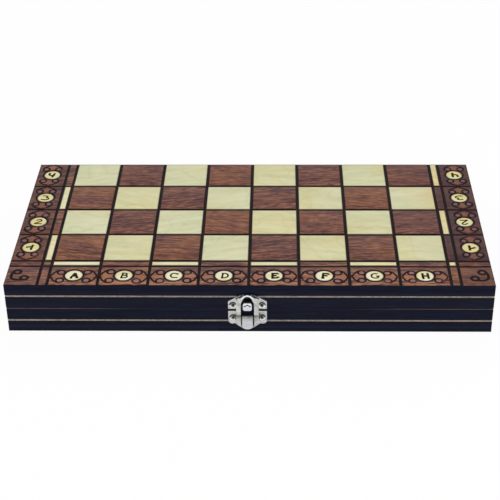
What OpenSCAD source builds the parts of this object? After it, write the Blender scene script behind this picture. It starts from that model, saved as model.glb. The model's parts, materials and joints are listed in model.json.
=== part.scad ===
// Folding games compendium box: a chessboard outside, a backgammon table inside.
// It is shown closed. The front faces -Y, the hinge runs along the back, and z = 0 is the face it rests on.
// Each half is a shallow tray: a veneered board, four mitred rails and a backgammon field.

/* [Board] */
// Distance from one square to the next
square_pitch = 36; // [30:1:45]
// Width of the narrow strips that frame the squares, line to line
strip_pitch = 7; // [5:0.5:10]
// Width of the lettered border, from the edge of the case to its line
border_w = 24; // [20:1:30]
// Width of the black line between two tiles
line_w = 2.3; // [1.4:0.1:3]
// Depth of the black line below the face of the tiles
line_depth = 0.4; // [0.2:0.1:0.8]
// Thickness of the veneer tiles
veneer_t = 1.2; // [0.8:0.1:2]
// Black edge left round the outside of the tiles
edge_inset = 0.5; // [0.3:0.1:1.5]
// Diameter of the round inlays in the border
medallion_d = 13; // [9:0.5:16]
// Width of the burnt ring round an inlay
ring_w = 0.9; // [0.5:0.1:1.3]

/* [Case] */
// Height of the closed box
case_h = 41; // [38:0.5:46]
// Gap between the two halves when closed
seam_gap = 0.3; // [0.2:0.1:0.6]
// Thickness of the rails
rail_t = 8; // [8:0.5:12]
// Thickness of the board under the rails, veneer included
board_t = 3.4; // [3:0.2:6]
// Height of the step on the board that drops between the rails
step_h = 1.6; // [1:0.2:3]
// Width of the bare groove that runs round each half
stripe_w = 1.4; // [0.8:0.1:2]
// Depth of that groove
stripe_depth = 0.9; // [0.5:0.1:1.5]
// Height of the middle of that groove above the outer face
stripe_z = 10; // [8:0.2:12]
// Chamfer on the outer edge of the rim
rim_chamfer = 0.4; // [0.2:0.1:0.8]

/* [Backgammon field] */
// Thickness of the field veneer
field_t = 0.6; // [0.4:0.1:1]
// Length of a backgammon point
point_l = 132; // [100:2:150]
// Width left between two points at their base
point_gap = 2; // [1:0.5:4]

/* [Hinges] */
// Length of a hinge
hinge_l = 30; // [24:1:40]
// Distance of a hinge from the middle of the box
hinge_x = 105; // [60:5:130]
// Width of a leaf, from the pin axis
leaf_w = 7.2; // [6:0.1:7.5]
// Thickness of a leaf
leaf_t = 1; // [0.8:0.1:1.2]
// Outside radius of a knuckle
knuckle_r = 2; // [1.8:0.1:2.5]
// Radius of the hinge pin
hinge_pin_r = 0.95; // [0.7:0.05:1.1]
// Knuckles in a hinge
knuckles = 5; // [3:2:7]
// Radius of a hinge screw's shank
screw_r = 0.9; // [0.7:0.1:1.2]
// Radius of a hinge screw's head
screw_head_r = 1.8; // [1.5:0.1:2]
// Length of a hinge screw
screw_l = 8; // [6:0.5:10]
// Distance from a hinge's middle to each screw
screw_x = 9; // [7:0.5:11]

/* [Latch] */
// Place of the latch along the front, from the middle
latch_x = -1; // [-20:1:20]
// How far the middle of the latch sits below the seam
latch_drop = 0.5; // [0:0.1:0.6]
// Width of the latch plates
plate_w = 27.8; // [26:0.2:32]
// Thickness of the latch plates
plate_t = 0.8; // [0.6:0.1:1.2]
// Gap between the two plates at the seam
plate_gap = 1.8; // [0.8:0.1:2.4]
// Height of the upper plate above the latch's middle
upper_plate_h = 13.4; // [12.4:0.1:14.4]
// Depth of the lower plate below the latch's middle
lower_plate_h = 15.9; // [15:0.1:17]
// Distance from the latch's middle to each nail
nail_x = 10.4; // [10.3:0.1:11.2]
// Height of the upper nails above the latch's middle
upper_nail_z = 4.4; // [4:0.1:5.2]
// Depth of the lower nails below the latch's middle
lower_nail_z = 6.4; // [5.6:0.1:7]
// Radius of a nail's shank
nail_r = 0.6; // [0.5:0.05:0.8]
// Radius of a nail's head
nail_head_r = 1.3; // [1:0.1:1.5]
// Length of a nail in the rail
nail_l = 6; // [4:0.5:7]
// Thickness of the hasp
hasp_t = 1; // [0.8:0.1:1.2]
// Width of the hasp across its legs
hasp_w = 16.2; // [15:0.2:16.6]
// Width of the hasp's window
window_w = 9.6; // [8.4:0.2:10.4]
// Width of the hasp's finger tail
tail_w = 7.8; // [6:0.2:8.5]
// Length of the finger tail, from the hasp pin down
tail_l = 8.2; // [7.4:0.1:9.4]
// Height of the hasp's top above the latch's middle
hasp_top = 13.7; // [12.8:0.1:14.3]
// Depth of the hasp pin below the latch's middle
hasp_pin_z = 5.6; // [5:0.1:6.4]
// Distance of the hasp pin from the front of the case
hasp_pin_y = 2.6; // [2.4:0.1:3.2]
// Radius of the hasp pin
hasp_pin_r = 0.7; // [0.5:0.05:0.8]
// Radius of the curl round the hasp pin
curl_r = 1.5; // [1.4:0.1:1.7]
// Width of the beak that the hasp snaps over
beak_w = 6.4; // [5:0.2:7.2]
// Reach of the beak from the front of the case
beak_reach = 4.3; // [3.8:0.1:4.8]
// Height of the beak's ledge above the latch's middle
beak_top = 9.9; // [9:0.1:10.2]

/* [Chessmen and draughts] */
// Height of a king
king_h = 64; // [60:0.5:66]
// Height of a queen
queen_h = 56; // [52:0.5:58]
// Height of a bishop
bishop_h = 50; // [46:0.5:52]
// Height of a knight
knight_h = 45; // [42:0.5:47]
// Height of a rook
rook_h = 37; // [34:0.5:38]
// Height of a pawn
pawn_h = 32; // [30:0.5:33]
// Foot radius of a king and a queen
royal_foot = 12.5; // [11:0.1:13]
// Foot radius of a bishop, a knight and a rook
officer_foot = 11; // [10:0.1:11.5]
// Foot radius of a pawn
pawn_foot = 9.5; // [9:0.1:10]
// Diameter of a draught
draught_d = 24; // [22:0.5:25]
// Thickness of a draught
draught_t = 6; // [5:0.1:7]
// Size of a die
die_size = 12; // [10:0.5:14]

/* [Hidden] */
$fn = 48;
run_gap = 0.05;        // radial clearance of a pin in its knuckle or a screw in its hole
fit_gap = 0.1;         // clearance round a leaf, a tile or a step in its seat
files = 8;
ranks = 4;             // ranks on each half
case_w = files * square_pitch + 2 * (strip_pitch + border_w);
case_d = ranks * square_pitch + strip_pitch + border_w;
front_y = -case_d / 2;
back_y = case_d / 2;
seam_z = case_h / 2;
rim_z = seam_z - seam_gap / 2;
latch_z = seam_z - latch_drop;
floor_z = board_t + step_h;            // inner face of a board
field_z = floor_z + field_t;           // playing face of the backgammon field
tray_w = case_w - 2 * rail_t;
tray_d = case_d - 2 * rail_t;
axis_y = back_y + seam_gap / 2;        // hinge axis, just outside the back
beyond = 1;                            // how far a cutter runs past what it cuts
points_per_end = 6;
field_margin = 3;                      // bare strip between a rail and the base of the points
knuckle_gap = 0.3;                     // room round a knuckle in the wood
screw_y = (leaf_w + knuckle_r) / 2 + 0.3;  // row of screws in a leaf, from the hinge axis
nail_dome = 1;                         // height of a nail's head
dimple_depth = 0.5;
dimple_rim = 0.8;                      // how much wider the dimple is at the face of the plate
corner_r = 3;                          // round lower corners of the hasp plate
ear_t = 0.6;
ear_x = hasp_w / 2 + 0.2;              // inner face of an ear
hasp_back = plate_t + 0.4;             // back of the arch, clear of the plates
foot_rim = 1.4;                        // radius of the rounded rim of a chessman's foot
lie_gap = 0.1;                         // room between a lying piece and the field
pack_gap = 0.8;                        // room between two pieces that lie side by side
stack_n = 3;                           // draughts in a stack
stacks = 5;                            // stacks of each colour

// Lines across the board, from the left edge of the case, and from its front edge back to the hinge
x_lines = concat([0, border_w], [for (f = [0 : files]) border_w + strip_pitch + f * square_pitch],
                 [case_w - border_w, case_w]);
y_lines = concat([0, border_w], [for (r = [0 : ranks]) border_w + strip_pitch + r * square_pitch]);
last_column = len(x_lines) - 2;
last_row = len(y_lines) - 2;

// A tile runs from line to line, less half a line on each side, and stops short of the edge of the case
function low_edge(lines, i) = lines[i] + (i == 0 ? edge_inset : line_w / 2);
function high_edge(lines, i) = lines[i + 1] - (i == len(lines) - 2 ? edge_inset : line_w / 2);

function is_border(column, row) = column == 0 || column == last_column || row == 0;
function is_square(column, row) = column > 1 && column < last_column - 1 && row > 1;
function is_strip(column, row) = !is_border(column, row) && !is_square(column, row);
// The checks run on over the strips, and the lower half carries ranks eight to five
function is_dark(column, row, half) =
    (column - 1 + (half == "upper" ? row - 1 : 2 * ranks + 2 - row)) % 2 == 0;
// Lettered blocks lie before the squares, and numbered ones beside them
function has_medallion(column, row) =
    (row == 0 && column > 1 && column < last_column - 1)
    || ((column == 0 || column == last_column) && row > 1);

function cells(kind, half, dark) = [
    for (column = [0 : last_column], row = [0 : last_row])
        if ((kind == "square" && is_square(column, row) && is_dark(column, row, half) == dark)
            || (kind == "strip" && is_strip(column, row) && is_dark(column, row, half) == dark)
            || (kind == "border" && is_border(column, row))
            || (kind == "medallion" && has_medallion(column, row))
            || kind == "any")
        [column, row]];

function cell_middle(cell) = [
    (low_edge(x_lines, cell[0]) + high_edge(x_lines, cell[0])) / 2 - case_w / 2,
    (low_edge(y_lines, cell[1]) + high_edge(y_lines, cell[1])) / 2 - case_d / 2];
function cell_size(cell) = [
    high_edge(x_lines, cell[0]) - low_edge(x_lines, cell[0]),
    high_edge(y_lines, cell[1]) - low_edge(y_lines, cell[1])];
function arc(cx, cy, r, from, to, steps) =
    [for (i = [0 : steps]) let (a = from + (to - from) * i / steps) [cx + r * cos(a), cy + r * sin(a)]];

// Turns what is drawn for the lower half into its twin in the upper half
module in_half(half) {
    if (half == "lower") children();
    else translate([0, 0, case_h]) mirror([0, 0, 1]) children();
}

// One tile of the board, standing on z = 0 and grown all round by a clearance
module tile(cell, height, grow = 0) {
    middle = cell_middle(cell);
    size = cell_size(cell);
    translate([middle[0] - size[0] / 2 - grow, middle[1] - size[1] / 2 - grow, 0])
        cube([size[0] + 2 * grow, size[1] + 2 * grow, height]);
}

module tiles(kind, half, dark, tint) {
    color(tint) in_half(half)
        for (cell = cells(kind, half, dark)) tile(cell, veneer_t);
}

// Border blocks, bored through where a round inlay sits in its burnt ring
module border(half) {
    color("sienna") in_half(half)
        for (cell = cells("border", half, false))
            difference() {
                tile(cell, veneer_t);
                if (has_medallion(cell[0], cell[1]))
                    translate(concat(cell_middle(cell), [-beyond]))
                        cylinder(r = medallion_d / 2 + ring_w, h = veneer_t + 2 * beyond);
            }
}

module medallions(half) {
    color("khaki") in_half(half)
        for (cell = cells("medallion", half, false))
            translate(concat(cell_middle(cell), [0])) cylinder(d = medallion_d, h = veneer_t);
}

// Plywood board with a pocket for each tile, whose walls are the black lines, and a step between the rails
module board(half) {
    color("dimgray") in_half(half) union() {
        difference() {
            translate([-case_w / 2, front_y, line_depth]) cube([case_w, case_d, board_t - line_depth]);
            for (cell = cells("any", half, false))
                difference() {
                    translate([0, 0, -beyond]) tile(cell, veneer_t + beyond, fit_gap);
                    if (has_medallion(cell[0], cell[1]))
                        translate(concat(cell_middle(cell), [-beyond])) difference() {
                            cylinder(r = medallion_d / 2 + ring_w - fit_gap, h = veneer_t + 2 * beyond);
                            cylinder(r = medallion_d / 2 + fit_gap, h = veneer_t + beyond);
                        }
                }
        }
        translate([-tray_w / 2 + fit_gap, -tray_d / 2 + fit_gap, board_t])
            cube([tray_w - 2 * fit_gap, tray_d - 2 * fit_gap, step_h]);
    }
}

// The bare groove and the rim chamfer of one rail, cut along X at the front face
module rail_cutters(length) {
    translate([-length / 2, -beyond, stripe_z - stripe_w / 2])
        cube([length, beyond + stripe_depth, stripe_w]);
    translate([-length / 2, 0, rim_z]) rotate([45, 0, 0])
        translate([0, -rim_chamfer / sqrt(2), -rim_chamfer / sqrt(2)])
            cube([length, rim_chamfer * sqrt(2), rim_chamfer * sqrt(2)]);
}

// A rail along X with mitred ends, its outer face on y = 0 and the tray behind it
module rail(length) {
    difference() {
        translate([0, 0, board_t]) linear_extrude(rim_z - board_t)
            polygon([[-length / 2, 0], [length / 2, 0],
                     [length / 2 - rail_t, rail_t], [-length / 2 + rail_t, rail_t]]);
        rail_cutters(length + 2 * beyond);
    }
}

module side_rail(half, side) {
    color("black") in_half(half) translate([side * case_w / 2, 0, 0]) rotate([0, 0, 90 * side]) rail(case_d);
}

module front_rail(half) {
    nail_z = half == "lower" ? latch_z - lower_nail_z : case_h - latch_z - upper_nail_z;
    color("black") in_half(half) difference() {
        translate([0, front_y, 0]) rail(case_w);
        for (side = [-1, 1])
            translate([latch_x + side * nail_x, front_y - beyond, nail_z]) rotate([-90, 0, 0])
                cylinder(r = nail_r + run_gap, h = nail_l + beyond + fit_gap);
    }
}

// The back rail is let in for the hinge leaves and hollowed for their knuckles
module back_rail(half) {
    color("black") in_half(half) difference() {
        translate([0, back_y, 0]) rotate([0, 0, 180]) rail(case_w);
        for (side = [-1, 1]) translate([side * hinge_x, axis_y, seam_z]) {
            translate([-hinge_l / 2 - fit_gap, -leaf_w - fit_gap, -seam_gap / 2 - leaf_t - run_gap])
                cube([hinge_l + 2 * fit_gap, leaf_w + fit_gap + beyond, leaf_t + beyond]);
            rotate([0, 90, 0])
                cylinder(r = knuckle_r + knuckle_gap, h = hinge_l + 2 * fit_gap, center = true);
            for (s = [-1, 1])
                translate([s * screw_x, -screw_y, -seam_gap / 2 - screw_l - fit_gap])
                    cylinder(r = screw_r + run_gap, h = screw_l + fit_gap);
        }
    }
}

// One backgammon point, its base on x = 0 and its tip along +X
module point(grow = 0) {
    base = tray_d / points_per_end - point_gap;
    polygon([[-grow, -base / 2 - grow], [-grow, base / 2 + grow], [point_l + grow * 4, 0]]);
}

// The points of one colour at both ends of the tray: the colours alternate, and face their opposites
module points(parity, grow = 0) {
    for (end = [-1, 1], i = [0 : points_per_end - 1])
        if ((i + (end == 1 ? 1 : 0)) % 2 == parity)
            translate([end * (tray_w / 2 - field_margin),
                       (i + 0.5 - points_per_end / 2) * tray_d / points_per_end])
                rotate([0, 0, end == 1 ? 180 : 0]) point(grow);
}

module field(half) {
    color("burlywood") in_half(half) translate([0, 0, floor_z]) linear_extrude(field_t) difference() {
        square([tray_w - 2 * fit_gap, tray_d - 2 * fit_gap], center = true);
        points(0, fit_gap / 2);
        points(1, fit_gap / 2);
    }
}

module point_set(half, parity, tint) {
    color(tint) in_half(half) translate([0, 0, floor_z]) linear_extrude(field_t) points(parity);
}

// Knuckles turn about X through the origin, and belong to a leaf when their number matches its parity
module knuckle_row(parity) {
    pitch = hinge_l / knuckles;
    for (i = [0 : knuckles - 1])
        if (i % 2 == parity)
            translate([-hinge_l / 2 + (i + 0.5) * pitch, 0, 0]) children();
}

// A hinge leaf for the lower half, let into the rim, with the pin axis on the origin
module leaf(parity) {
    knuckle_l = hinge_l / knuckles - 2 * fit_gap;
    cut = knuckle_r + knuckle_gap;
    difference() {
        union() {
            translate([-hinge_l / 2, -leaf_w, -seam_gap / 2 - leaf_t]) cube([hinge_l, leaf_w - cut, leaf_t]);
            knuckle_row(parity) {
                translate([-knuckle_l / 2, -cut - run_gap, -seam_gap / 2 - leaf_t])
                    cube([knuckle_l, cut, leaf_t]);
                rotate([0, 90, 0]) cylinder(r = knuckle_r, h = knuckle_l, center = true);
            }
        }
        rotate([0, 90, 0]) cylinder(r = hinge_pin_r + run_gap, h = hinge_l + 2 * beyond, center = true);
        for (s = [-1, 1]) translate([s * screw_x, -screw_y, -seam_gap / 2]) {
            translate([0, 0, -leaf_t - beyond]) cylinder(r = screw_r + run_gap, h = leaf_t + 2 * beyond);
            translate([0, 0, -leaf_t])
                cylinder(r1 = screw_r + run_gap, r2 = screw_head_r + run_gap, h = leaf_t);
            cylinder(r = screw_head_r + run_gap, h = beyond);
        }
    }
}

module hinge_leaf(side, half) {
    color("silver") translate([side * hinge_x, 0, 0]) in_half(half)
        translate([0, axis_y, seam_z]) leaf(half == "lower" ? 0 : 1);
}

module hinge_pin(side) {
    color("gray") translate([side * hinge_x, axis_y, seam_z]) rotate([0, 90, 0])
        cylinder(r = hinge_pin_r, h = hinge_l, center = true);
}

// A countersunk screw, its head level with z = 0
module screw() {
    tip = 2 * screw_r;
    translate([0, 0, -leaf_t]) cylinder(r1 = screw_r, r2 = screw_head_r, h = leaf_t);
    translate([0, 0, -screw_l + tip]) cylinder(r = screw_r, h = screw_l - tip - leaf_t + run_gap);
    translate([0, 0, -screw_l]) cylinder(r1 = 0.1, r2 = screw_r, h = tip);
}

module hinge_screws(half) {
    color("silver") in_half(half)
        for (side = [-1, 1], s = [-1, 1])
            translate([side * hinge_x + s * screw_x, axis_y - screw_y, seam_z - seam_gap / 2]) screw();
}

// Puts an outline drawn about the latch's middle upright on the front, from one depth to another
module upright(from, to) {
    translate([latch_x, front_y - from, latch_z]) rotate([90, 0, 0]) linear_extrude(to - from) children();
}

// Sweeps a side view, drawn as reach and height, across the latch over a width
module across(width) {
    translate([latch_x - width / 2, front_y, latch_z]) rotate([90, 0, 0]) rotate([0, 90, 0])
        linear_extrude(width) mirror([1, 0]) children();
}

module nail_holes(z) {
    for (side = [-1, 1]) translate([latch_x + side * nail_x, front_y, latch_z + z]) rotate([90, 0, 0]) {
        translate([0, 0, -beyond]) cylinder(r = nail_r + run_gap, h = plate_t + 2 * beyond);
        translate([0, 0, plate_t - dimple_depth])
            cylinder(r1 = nail_head_r, r2 = nail_head_r + dimple_rim, h = dimple_depth);
    }
}

// Both plates are shields that point away from the seam, drawn with the latch's middle on the X axis
module lower_plate_outline() {
    side = plate_w / 2;
    low = -lower_plate_h;
    corner_z = low * 0.57;
    cusp_x = side * 0.66;
    difference() {
        union() {
            polygon([[-side, -plate_gap / 2], [-side, corner_z], [-side + corner_r, corner_z - corner_r],
                     [-cusp_x, low * 0.74], [-side * 0.34, low * 0.963], [-side * 0.18, low],
                     [side * 0.18, low], [side * 0.34, low * 0.963], [cusp_x, low * 0.74],
                     [side - corner_r, corner_z - corner_r],
                     [side, corner_z], [side, -plate_gap / 2]]);
            for (s = [-1, 1]) translate([s * (side - corner_r), corner_z]) circle(r = corner_r);
        }
        // the opening that the finger tail is pressed into
        translate([-window_w / 2, low * 0.78]) square([window_w, lower_plate_h]);
    }
}

module upper_plate_outline() {
    side = plate_w / 2;
    top = upper_plate_h;
    notch_r = top * 0.2;
    difference() {
        polygon([[-side, plate_gap / 2], [-side, top * 0.54], [-side * 0.96, top * 0.59],
                 [-side * 0.27, top * 0.985], [-side * 0.2, top],
                 [side * 0.2, top], [side * 0.27, top * 0.985], [side * 0.96, top * 0.59],
                 [side, top * 0.54], [side, plate_gap / 2]]);
        translate([0, top + notch_r * 0.23]) circle(r = notch_r);
        // the opening that the beak was struck from
        translate([-beak_w / 2 - 0.6, 0]) square([beak_w + 1.2, beak_top - 1.5]);
    }
}

// The lower plate carries two ears, one at each end of the hasp's curl
module hasp_plate() {
    color("silver") difference() {
        union() {
            upright(0, plate_t) lower_plate_outline();
            for (side = [-1, 1]) translate([side * (ear_x + ear_t / 2), 0, 0]) across(ear_t) {
                translate([hasp_pin_y, -hasp_pin_z]) circle(r = curl_r);
                translate([plate_t / 2, -hasp_pin_z - curl_r]) square([hasp_pin_y - plate_t / 2, 2 * curl_r]);
            }
        }
        nail_holes(-lower_nail_z);
        hasp_bore();
    }
}

module hasp_bore() {
    translate([latch_x, front_y - hasp_pin_y, latch_z - hasp_pin_z]) rotate([0, 90, 0])
        cylinder(r = hasp_pin_r + run_gap, h = plate_w, center = true);
}

module hasp_pin() {
    color("gray") translate([latch_x, front_y - hasp_pin_y, latch_z - hasp_pin_z]) rotate([0, 90, 0])
        cylinder(r = hasp_pin_r, h = 2 * (ear_x + ear_t) + 0.2, center = true);
}

// Arch of the hasp: straight legs, hollow shoulders and a narrow round head
module arch_outline() {
    head_r = 3;
    shoulder_r = 5.2;
    shoulder_x = hasp_w / 2 - 1.2;
    difference() {
        union() {
            translate([0, hasp_top - head_r]) circle(r = head_r);
            translate([-hasp_w / 2, -hasp_pin_z]) square([hasp_w, hasp_pin_z + hasp_top - 4.6]);
            polygon([[-hasp_w / 2, hasp_top - 4.7], [-hasp_w / 2, hasp_top - 4],
                     [-shoulder_x, hasp_top - 2.9],
                     [-2.2, hasp_top - 0.5], [2.2, hasp_top - 0.5], [shoulder_x, hasp_top - 2.9],
                     [hasp_w / 2, hasp_top - 4], [hasp_w / 2, hasp_top - 4.7]]);
        }
        for (side = [-1, 1])
            translate([side * shoulder_x, hasp_top - 2.9 + shoulder_r]) circle(r = shoulder_r);
        translate([-window_w / 2, -hasp_pin_z - curl_r]) square([window_w, hasp_pin_z + curl_r + 4]);
        // the window narrows to a round head
        translate([0, hasp_top - 5.2]) circle(r = 3.1);
        polygon([[-window_w / 2, 3.9], [window_w / 2, 3.9], [3.1, hasp_top - 5.2], [-3.1, hasp_top - 5.2]]);
    }
}

// Side view of the finger tail: it leaves the curl, leans out and ends in a lip
module tail_side() {
    lean = 0.9;
    lip = 0.5;
    top = -hasp_pin_z;
    front = hasp_pin_y + curl_r;
    polygon([[front - hasp_t, top], [front, top], [front + lean, top - tail_l + 1.6],
             [front + lean + lip, top - tail_l], [front + lean + lip - hasp_t, top - tail_l],
             [front + lean - hasp_t, top - tail_l + 1.6]]);
}

// The tail seen from the front, its end rounded
module tail_outline() {
    end_r = 6.2;
    intersection() {
        translate([-tail_w / 2, -hasp_pin_z - tail_l]) square([tail_w, tail_l]);
        translate([0, end_r - hasp_pin_z - tail_l]) union() {
            circle(r = end_r);
            translate([-tail_w / 2, 0]) square([tail_w, tail_l]);
        }
    }
}

module hasp() {
    color("silver") difference() {
        union() {
            upright(hasp_back, hasp_back + hasp_t) arch_outline();
            translate([latch_x, front_y - hasp_pin_y, latch_z - hasp_pin_z]) rotate([0, 90, 0])
                cylinder(r = curl_r, h = hasp_w, center = true);
            intersection() {
                across(tail_w) tail_side();
                upright(0, 12) tail_outline();
            }
        }
        hasp_bore();
        // slits part the tail from the legs in front of the pin
        for (side = [-1, 1])
            upright(hasp_pin_y, hasp_pin_y + 2 * curl_r)
                translate([side * (tail_w + window_w) / 4, -hasp_pin_z])
                    square([(window_w - tail_w) / 2, 3 * curl_r], center = true);
    }
}

// Side view of the beak, a strip bent out of the plate: a ledge on top, a round nose and a steep face
module beak_side() {
    nose_r = 2.2;
    face_in = 0.7;
    foot = 1.1;
    difference() {
        polygon(concat([[0, beak_top]], arc(beak_reach - nose_r, beak_top - 0.5 - nose_r, nose_r, 80, 0, 6),
                       [[beak_reach - face_in, foot], [0, foot]]));
        polygon(concat([[-beyond, beak_top - 1.1]],
                       arc(beak_reach - nose_r, beak_top - 0.5 - nose_r, nose_r - plate_t, 80, 0, 6),
                       [[beak_reach - face_in - plate_t, foot - beyond], [-beyond, foot - beyond]]));
    }
}

module beak() {
    intersection() {
        across(beak_w) beak_side();
        upright(0, 12) {
            translate([0, 4.4]) circle(r = 3.9);
            polygon([[-beak_w / 2, 4], [beak_w / 2, 4], [beak_w / 2, 5.2], [beak_w / 2 - 0.5, beak_top - 2.6],
                     [-beak_w / 2 + 0.5, beak_top - 2.6], [-beak_w / 2, 5.2]]);
            translate([0, beak_top - 2.7]) circle(r = 2.7);
        }
    }
}

module catch_plate() {
    color("silver") difference() {
        union() {
            upright(0, plate_t) upper_plate_outline();
            beak();
        }
        nail_holes(upper_nail_z);
    }
}

// A round-headed nail driven in along +Y, its head resting in the dimple of the plate
module nail() {
    rotate([-90, 0, 0]) {
        cylinder(r = nail_r, h = nail_l);
        translate([0, 0, -plate_t + dimple_depth - run_gap]) cylinder(r = nail_r, h = plate_t);
    }
    rotate([90, 0, 0]) translate([0, 0, plate_t - dimple_depth])
        intersection() {
            translate([0, 0, nail_dome - 2]) sphere(r = 2);
            cylinder(r = nail_head_r, h = 2);
        }
}

module latch_nails(z) {
    color("silver") for (side = [-1, 1]) translate([latch_x + side * nail_x, front_y, latch_z + z]) nail();
}

// A chessman is described by its height, its foot radius, and the radius and height of what it lies on
KING = [king_h, royal_foot, 6.8, king_h - 9];
QUEEN = [queen_h, royal_foot, 7, queen_h - 4.5];
BISHOP = [bishop_h, officer_foot, 5.6, bishop_h - 10.5];
KNIGHT = [knight_h, officer_foot, 5, knight_h - 9];
ROOK = [rook_h, officer_foot, 7.4, rook_h];
PAWN = [pawn_h, pawn_foot, 5.5, pawn_h - 5.4];
// Each army lies in rows along Y, from its end wall inwards
army = [[KING, QUEEN], [BISHOP, BISHOP, PAWN], [KNIGHT, KNIGHT, PAWN], [ROOK, ROOK, PAWN, PAWN],
        [PAWN, PAWN, PAWN, PAWN]];

// A chessman lies down until its head touches: the tilt of its axis, and the length it takes up
function tilt(man) = atan((man[1] - man[2]) / (man[3] - foot_rim));
function lying_l(man) = man[0] * cos(tilt(man)) + man[1] * sin(tilt(man));
function row_y(row, i) = i == 0 ? -tray_d / 2 + pack_gap : row_y(row, i - 1) + lying_l(row[i - 1]) + pack_gap;
function row_x(i) = i == 0 ? pack_gap + row_r(0) : row_x(i - 1) + row_r(i - 1) + pack_gap + row_r(i);
function row_r(i) = max([for (man = army[i]) man[1]]);
army_w = row_x(len(army) - 1) + row_r(len(army) - 1);
stack_x = army_w + pack_gap + draught_d / 2;

// Turns a half outline, drawn right of the axis, into a solid of revolution
module turned() {
    rotate_extrude() intersection() {
        children();
        square(king_h * 2);
    }
}

// Foot and hollow-sided stem of a chessman, up to a neck
module stem(man, neck_r, neck_z) {
    foot_h = 2 * foot_rim + 1.2;
    stem_r = man[1] - 2.4;
    reach = stem_r - neck_r;
    rise = neck_z - foot_h;
    hollow_r = (reach * reach + rise * rise) / (2 * reach);
    square([man[1] - foot_rim, 2 * foot_rim]);
    translate([man[1] - foot_rim, foot_rim]) circle(r = foot_rim);
    square([man[1] - 2 * foot_rim + 0.6, foot_h]);
    difference() {
        square([stem_r, neck_z]);
        translate([neck_r + hollow_r, neck_z]) circle(r = hollow_r, $fn = 144);
    }
}

// A bead round a neck
module collar(r, z, t = 1.6) {
    translate([0, z - t / 2]) square([r - t / 2, t]);
    translate([r - t / 2, z]) circle(d = t);
}

module pawn() {
    ball_z = pawn_h - 5.4;
    turned() {
        stem(PAWN, 3.4, ball_z - 5.5);
        collar(5.2, ball_z - 5.6);
        translate([0, ball_z]) circle(r = 5.4);
    }
}

module rook() {
    difference() {
        turned() {
            stem(ROOK, 5.2, rook_h - 13);
            collar(7, rook_h - 12.4);
            translate([0, rook_h - 12.4]) polygon([[0, 0], [6, 0], [7.4, 5], [7.4, 12.4], [0, 12.4]]);
        }
        translate([0, 0, rook_h - 3]) cylinder(r = 4.8, h = 4);
        for (a = [0 : 60 : 120]) rotate([0, 0, a]) translate([-10, -1, rook_h - 2.4]) cube([20, 2, 4]);
    }
}

// Side view of a knight's head, looking along +X, above its collar
module knight_outline() {
    difference() {
        polygon(concat([[7.2, 0], [-7.4, 0]], arc(8.6, 12, 16, 200, 128, 6),
                       [[-1.8, 29], [-0.6, 36], [2, 31.2], [4.6, 29.6], [8.8, 22], [10.3, 18.6], [9.9, 16.2],
                        [8.2, 15], [5.6, 16.6], [2.4, 17.2], [1.8, 14.6], [4.6, 9.6]]));
        for (a = [136 : 14 : 192]) translate([8.6 + 16.5 * cos(a), 12 + 16.5 * sin(a)]) circle(r = 1.1);
        translate([9.6, 17.4]) rotate([0, 0, 12]) square([4, 0.7], center = true);
    }
}

// The head is its side view crossed with its front view, on a turned foot
module knight() {
    neck_z = knight_h - 36;
    turned() {
        stem(KNIGHT, 7.8, neck_z - 0.6);
        collar(8.6, neck_z - 0.8);
        square([7.8, neck_z]);
    }
    difference() {
        intersection() {
            translate([0, 7, neck_z - 1]) rotate([90, 0, 0])
                linear_extrude(14) translate([0, 1]) knight_outline();
            translate([-12, 0, neck_z - 1]) rotate([90, 0, 90]) linear_extrude(24)
                polygon([[-6.4, 0], [6.4, 0], [6, 9], [4.9, 20], [4.6, 30], [2.4, 37.5],
                         [-2.4, 37.5], [-4.6, 30], [-4.9, 20], [-6, 9]]);
        }
        for (side = [-1, 1]) translate([4.2, side * 5.4, neck_z + 25]) sphere(r = 1.3);
    }
}

module bishop() {
    mitre_z = bishop_h - 10.5;
    difference() {
        turned() {
            stem(BISHOP, 3.2, mitre_z - 8.2);
            collar(6.2, mitre_z - 8);
            collar(4.6, mitre_z - 6, 1.4);
            square([3.2, mitre_z - 5]);
            translate([5.6 - 9, mitre_z]) circle(r = 9, $fn = 96);
            translate([0, bishop_h - 1.7]) circle(r = 1.7);
        }
        translate([2.2, 0, mitre_z + 4]) rotate([0, -55, 0]) translate([-4, -8, -0.5]) cube([8, 16, 1]);
    }
}

// Cup of a royal head, flaring from its neck to its rim
module cup(neck_r, rim_r, z, h) {
    reach = rim_r - neck_r;
    hollow_r = (reach * reach + h * h) / (2 * reach);
    difference() {
        translate([0, z]) square([rim_r, h]);
        translate([neck_r + hollow_r, z]) circle(r = hollow_r, $fn = 96);
    }
}

module queen() {
    rim_z = queen_h - 4.5;
    difference() {
        turned() {
            stem(QUEEN, 4, rim_z - 12);
            collar(7.2, rim_z - 11.6);
            collar(5.4, rim_z - 9.6);
            square([4, rim_z]);
            cup(4, 7, rim_z - 9, 9);
            translate([0, rim_z]) square([5.4, 1]);
            translate([0, queen_h - 2.3]) circle(r = 2.3);
        }
        for (a = [0 : 45 : 315]) rotate([0, 0, a]) translate([7.4, 0, rim_z + 0.6]) sphere(r = 1.9);
    }
}

module king() {
    rim_z = king_h - 9;
    turned() {
        stem(KING, 4.2, rim_z - 12);
        collar(7.6, rim_z - 11.6);
        collar(5.6, rim_z - 9.6);
        square([4.2, rim_z]);
        cup(4.2, 6.8, rim_z - 9, 9);
        intersection() {
            translate([0, rim_z - 6]) circle(r = 8.6, $fn = 96);
            translate([0, rim_z - 0.1]) square([6.2, 8]);
        }
    }
    translate([-0.9, -0.9, rim_z + 2]) cube([1.8, 1.8, 7]);
    translate([-2.6, -0.9, rim_z + 4.6]) cube([5.2, 1.8, 1.8]);
}

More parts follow.
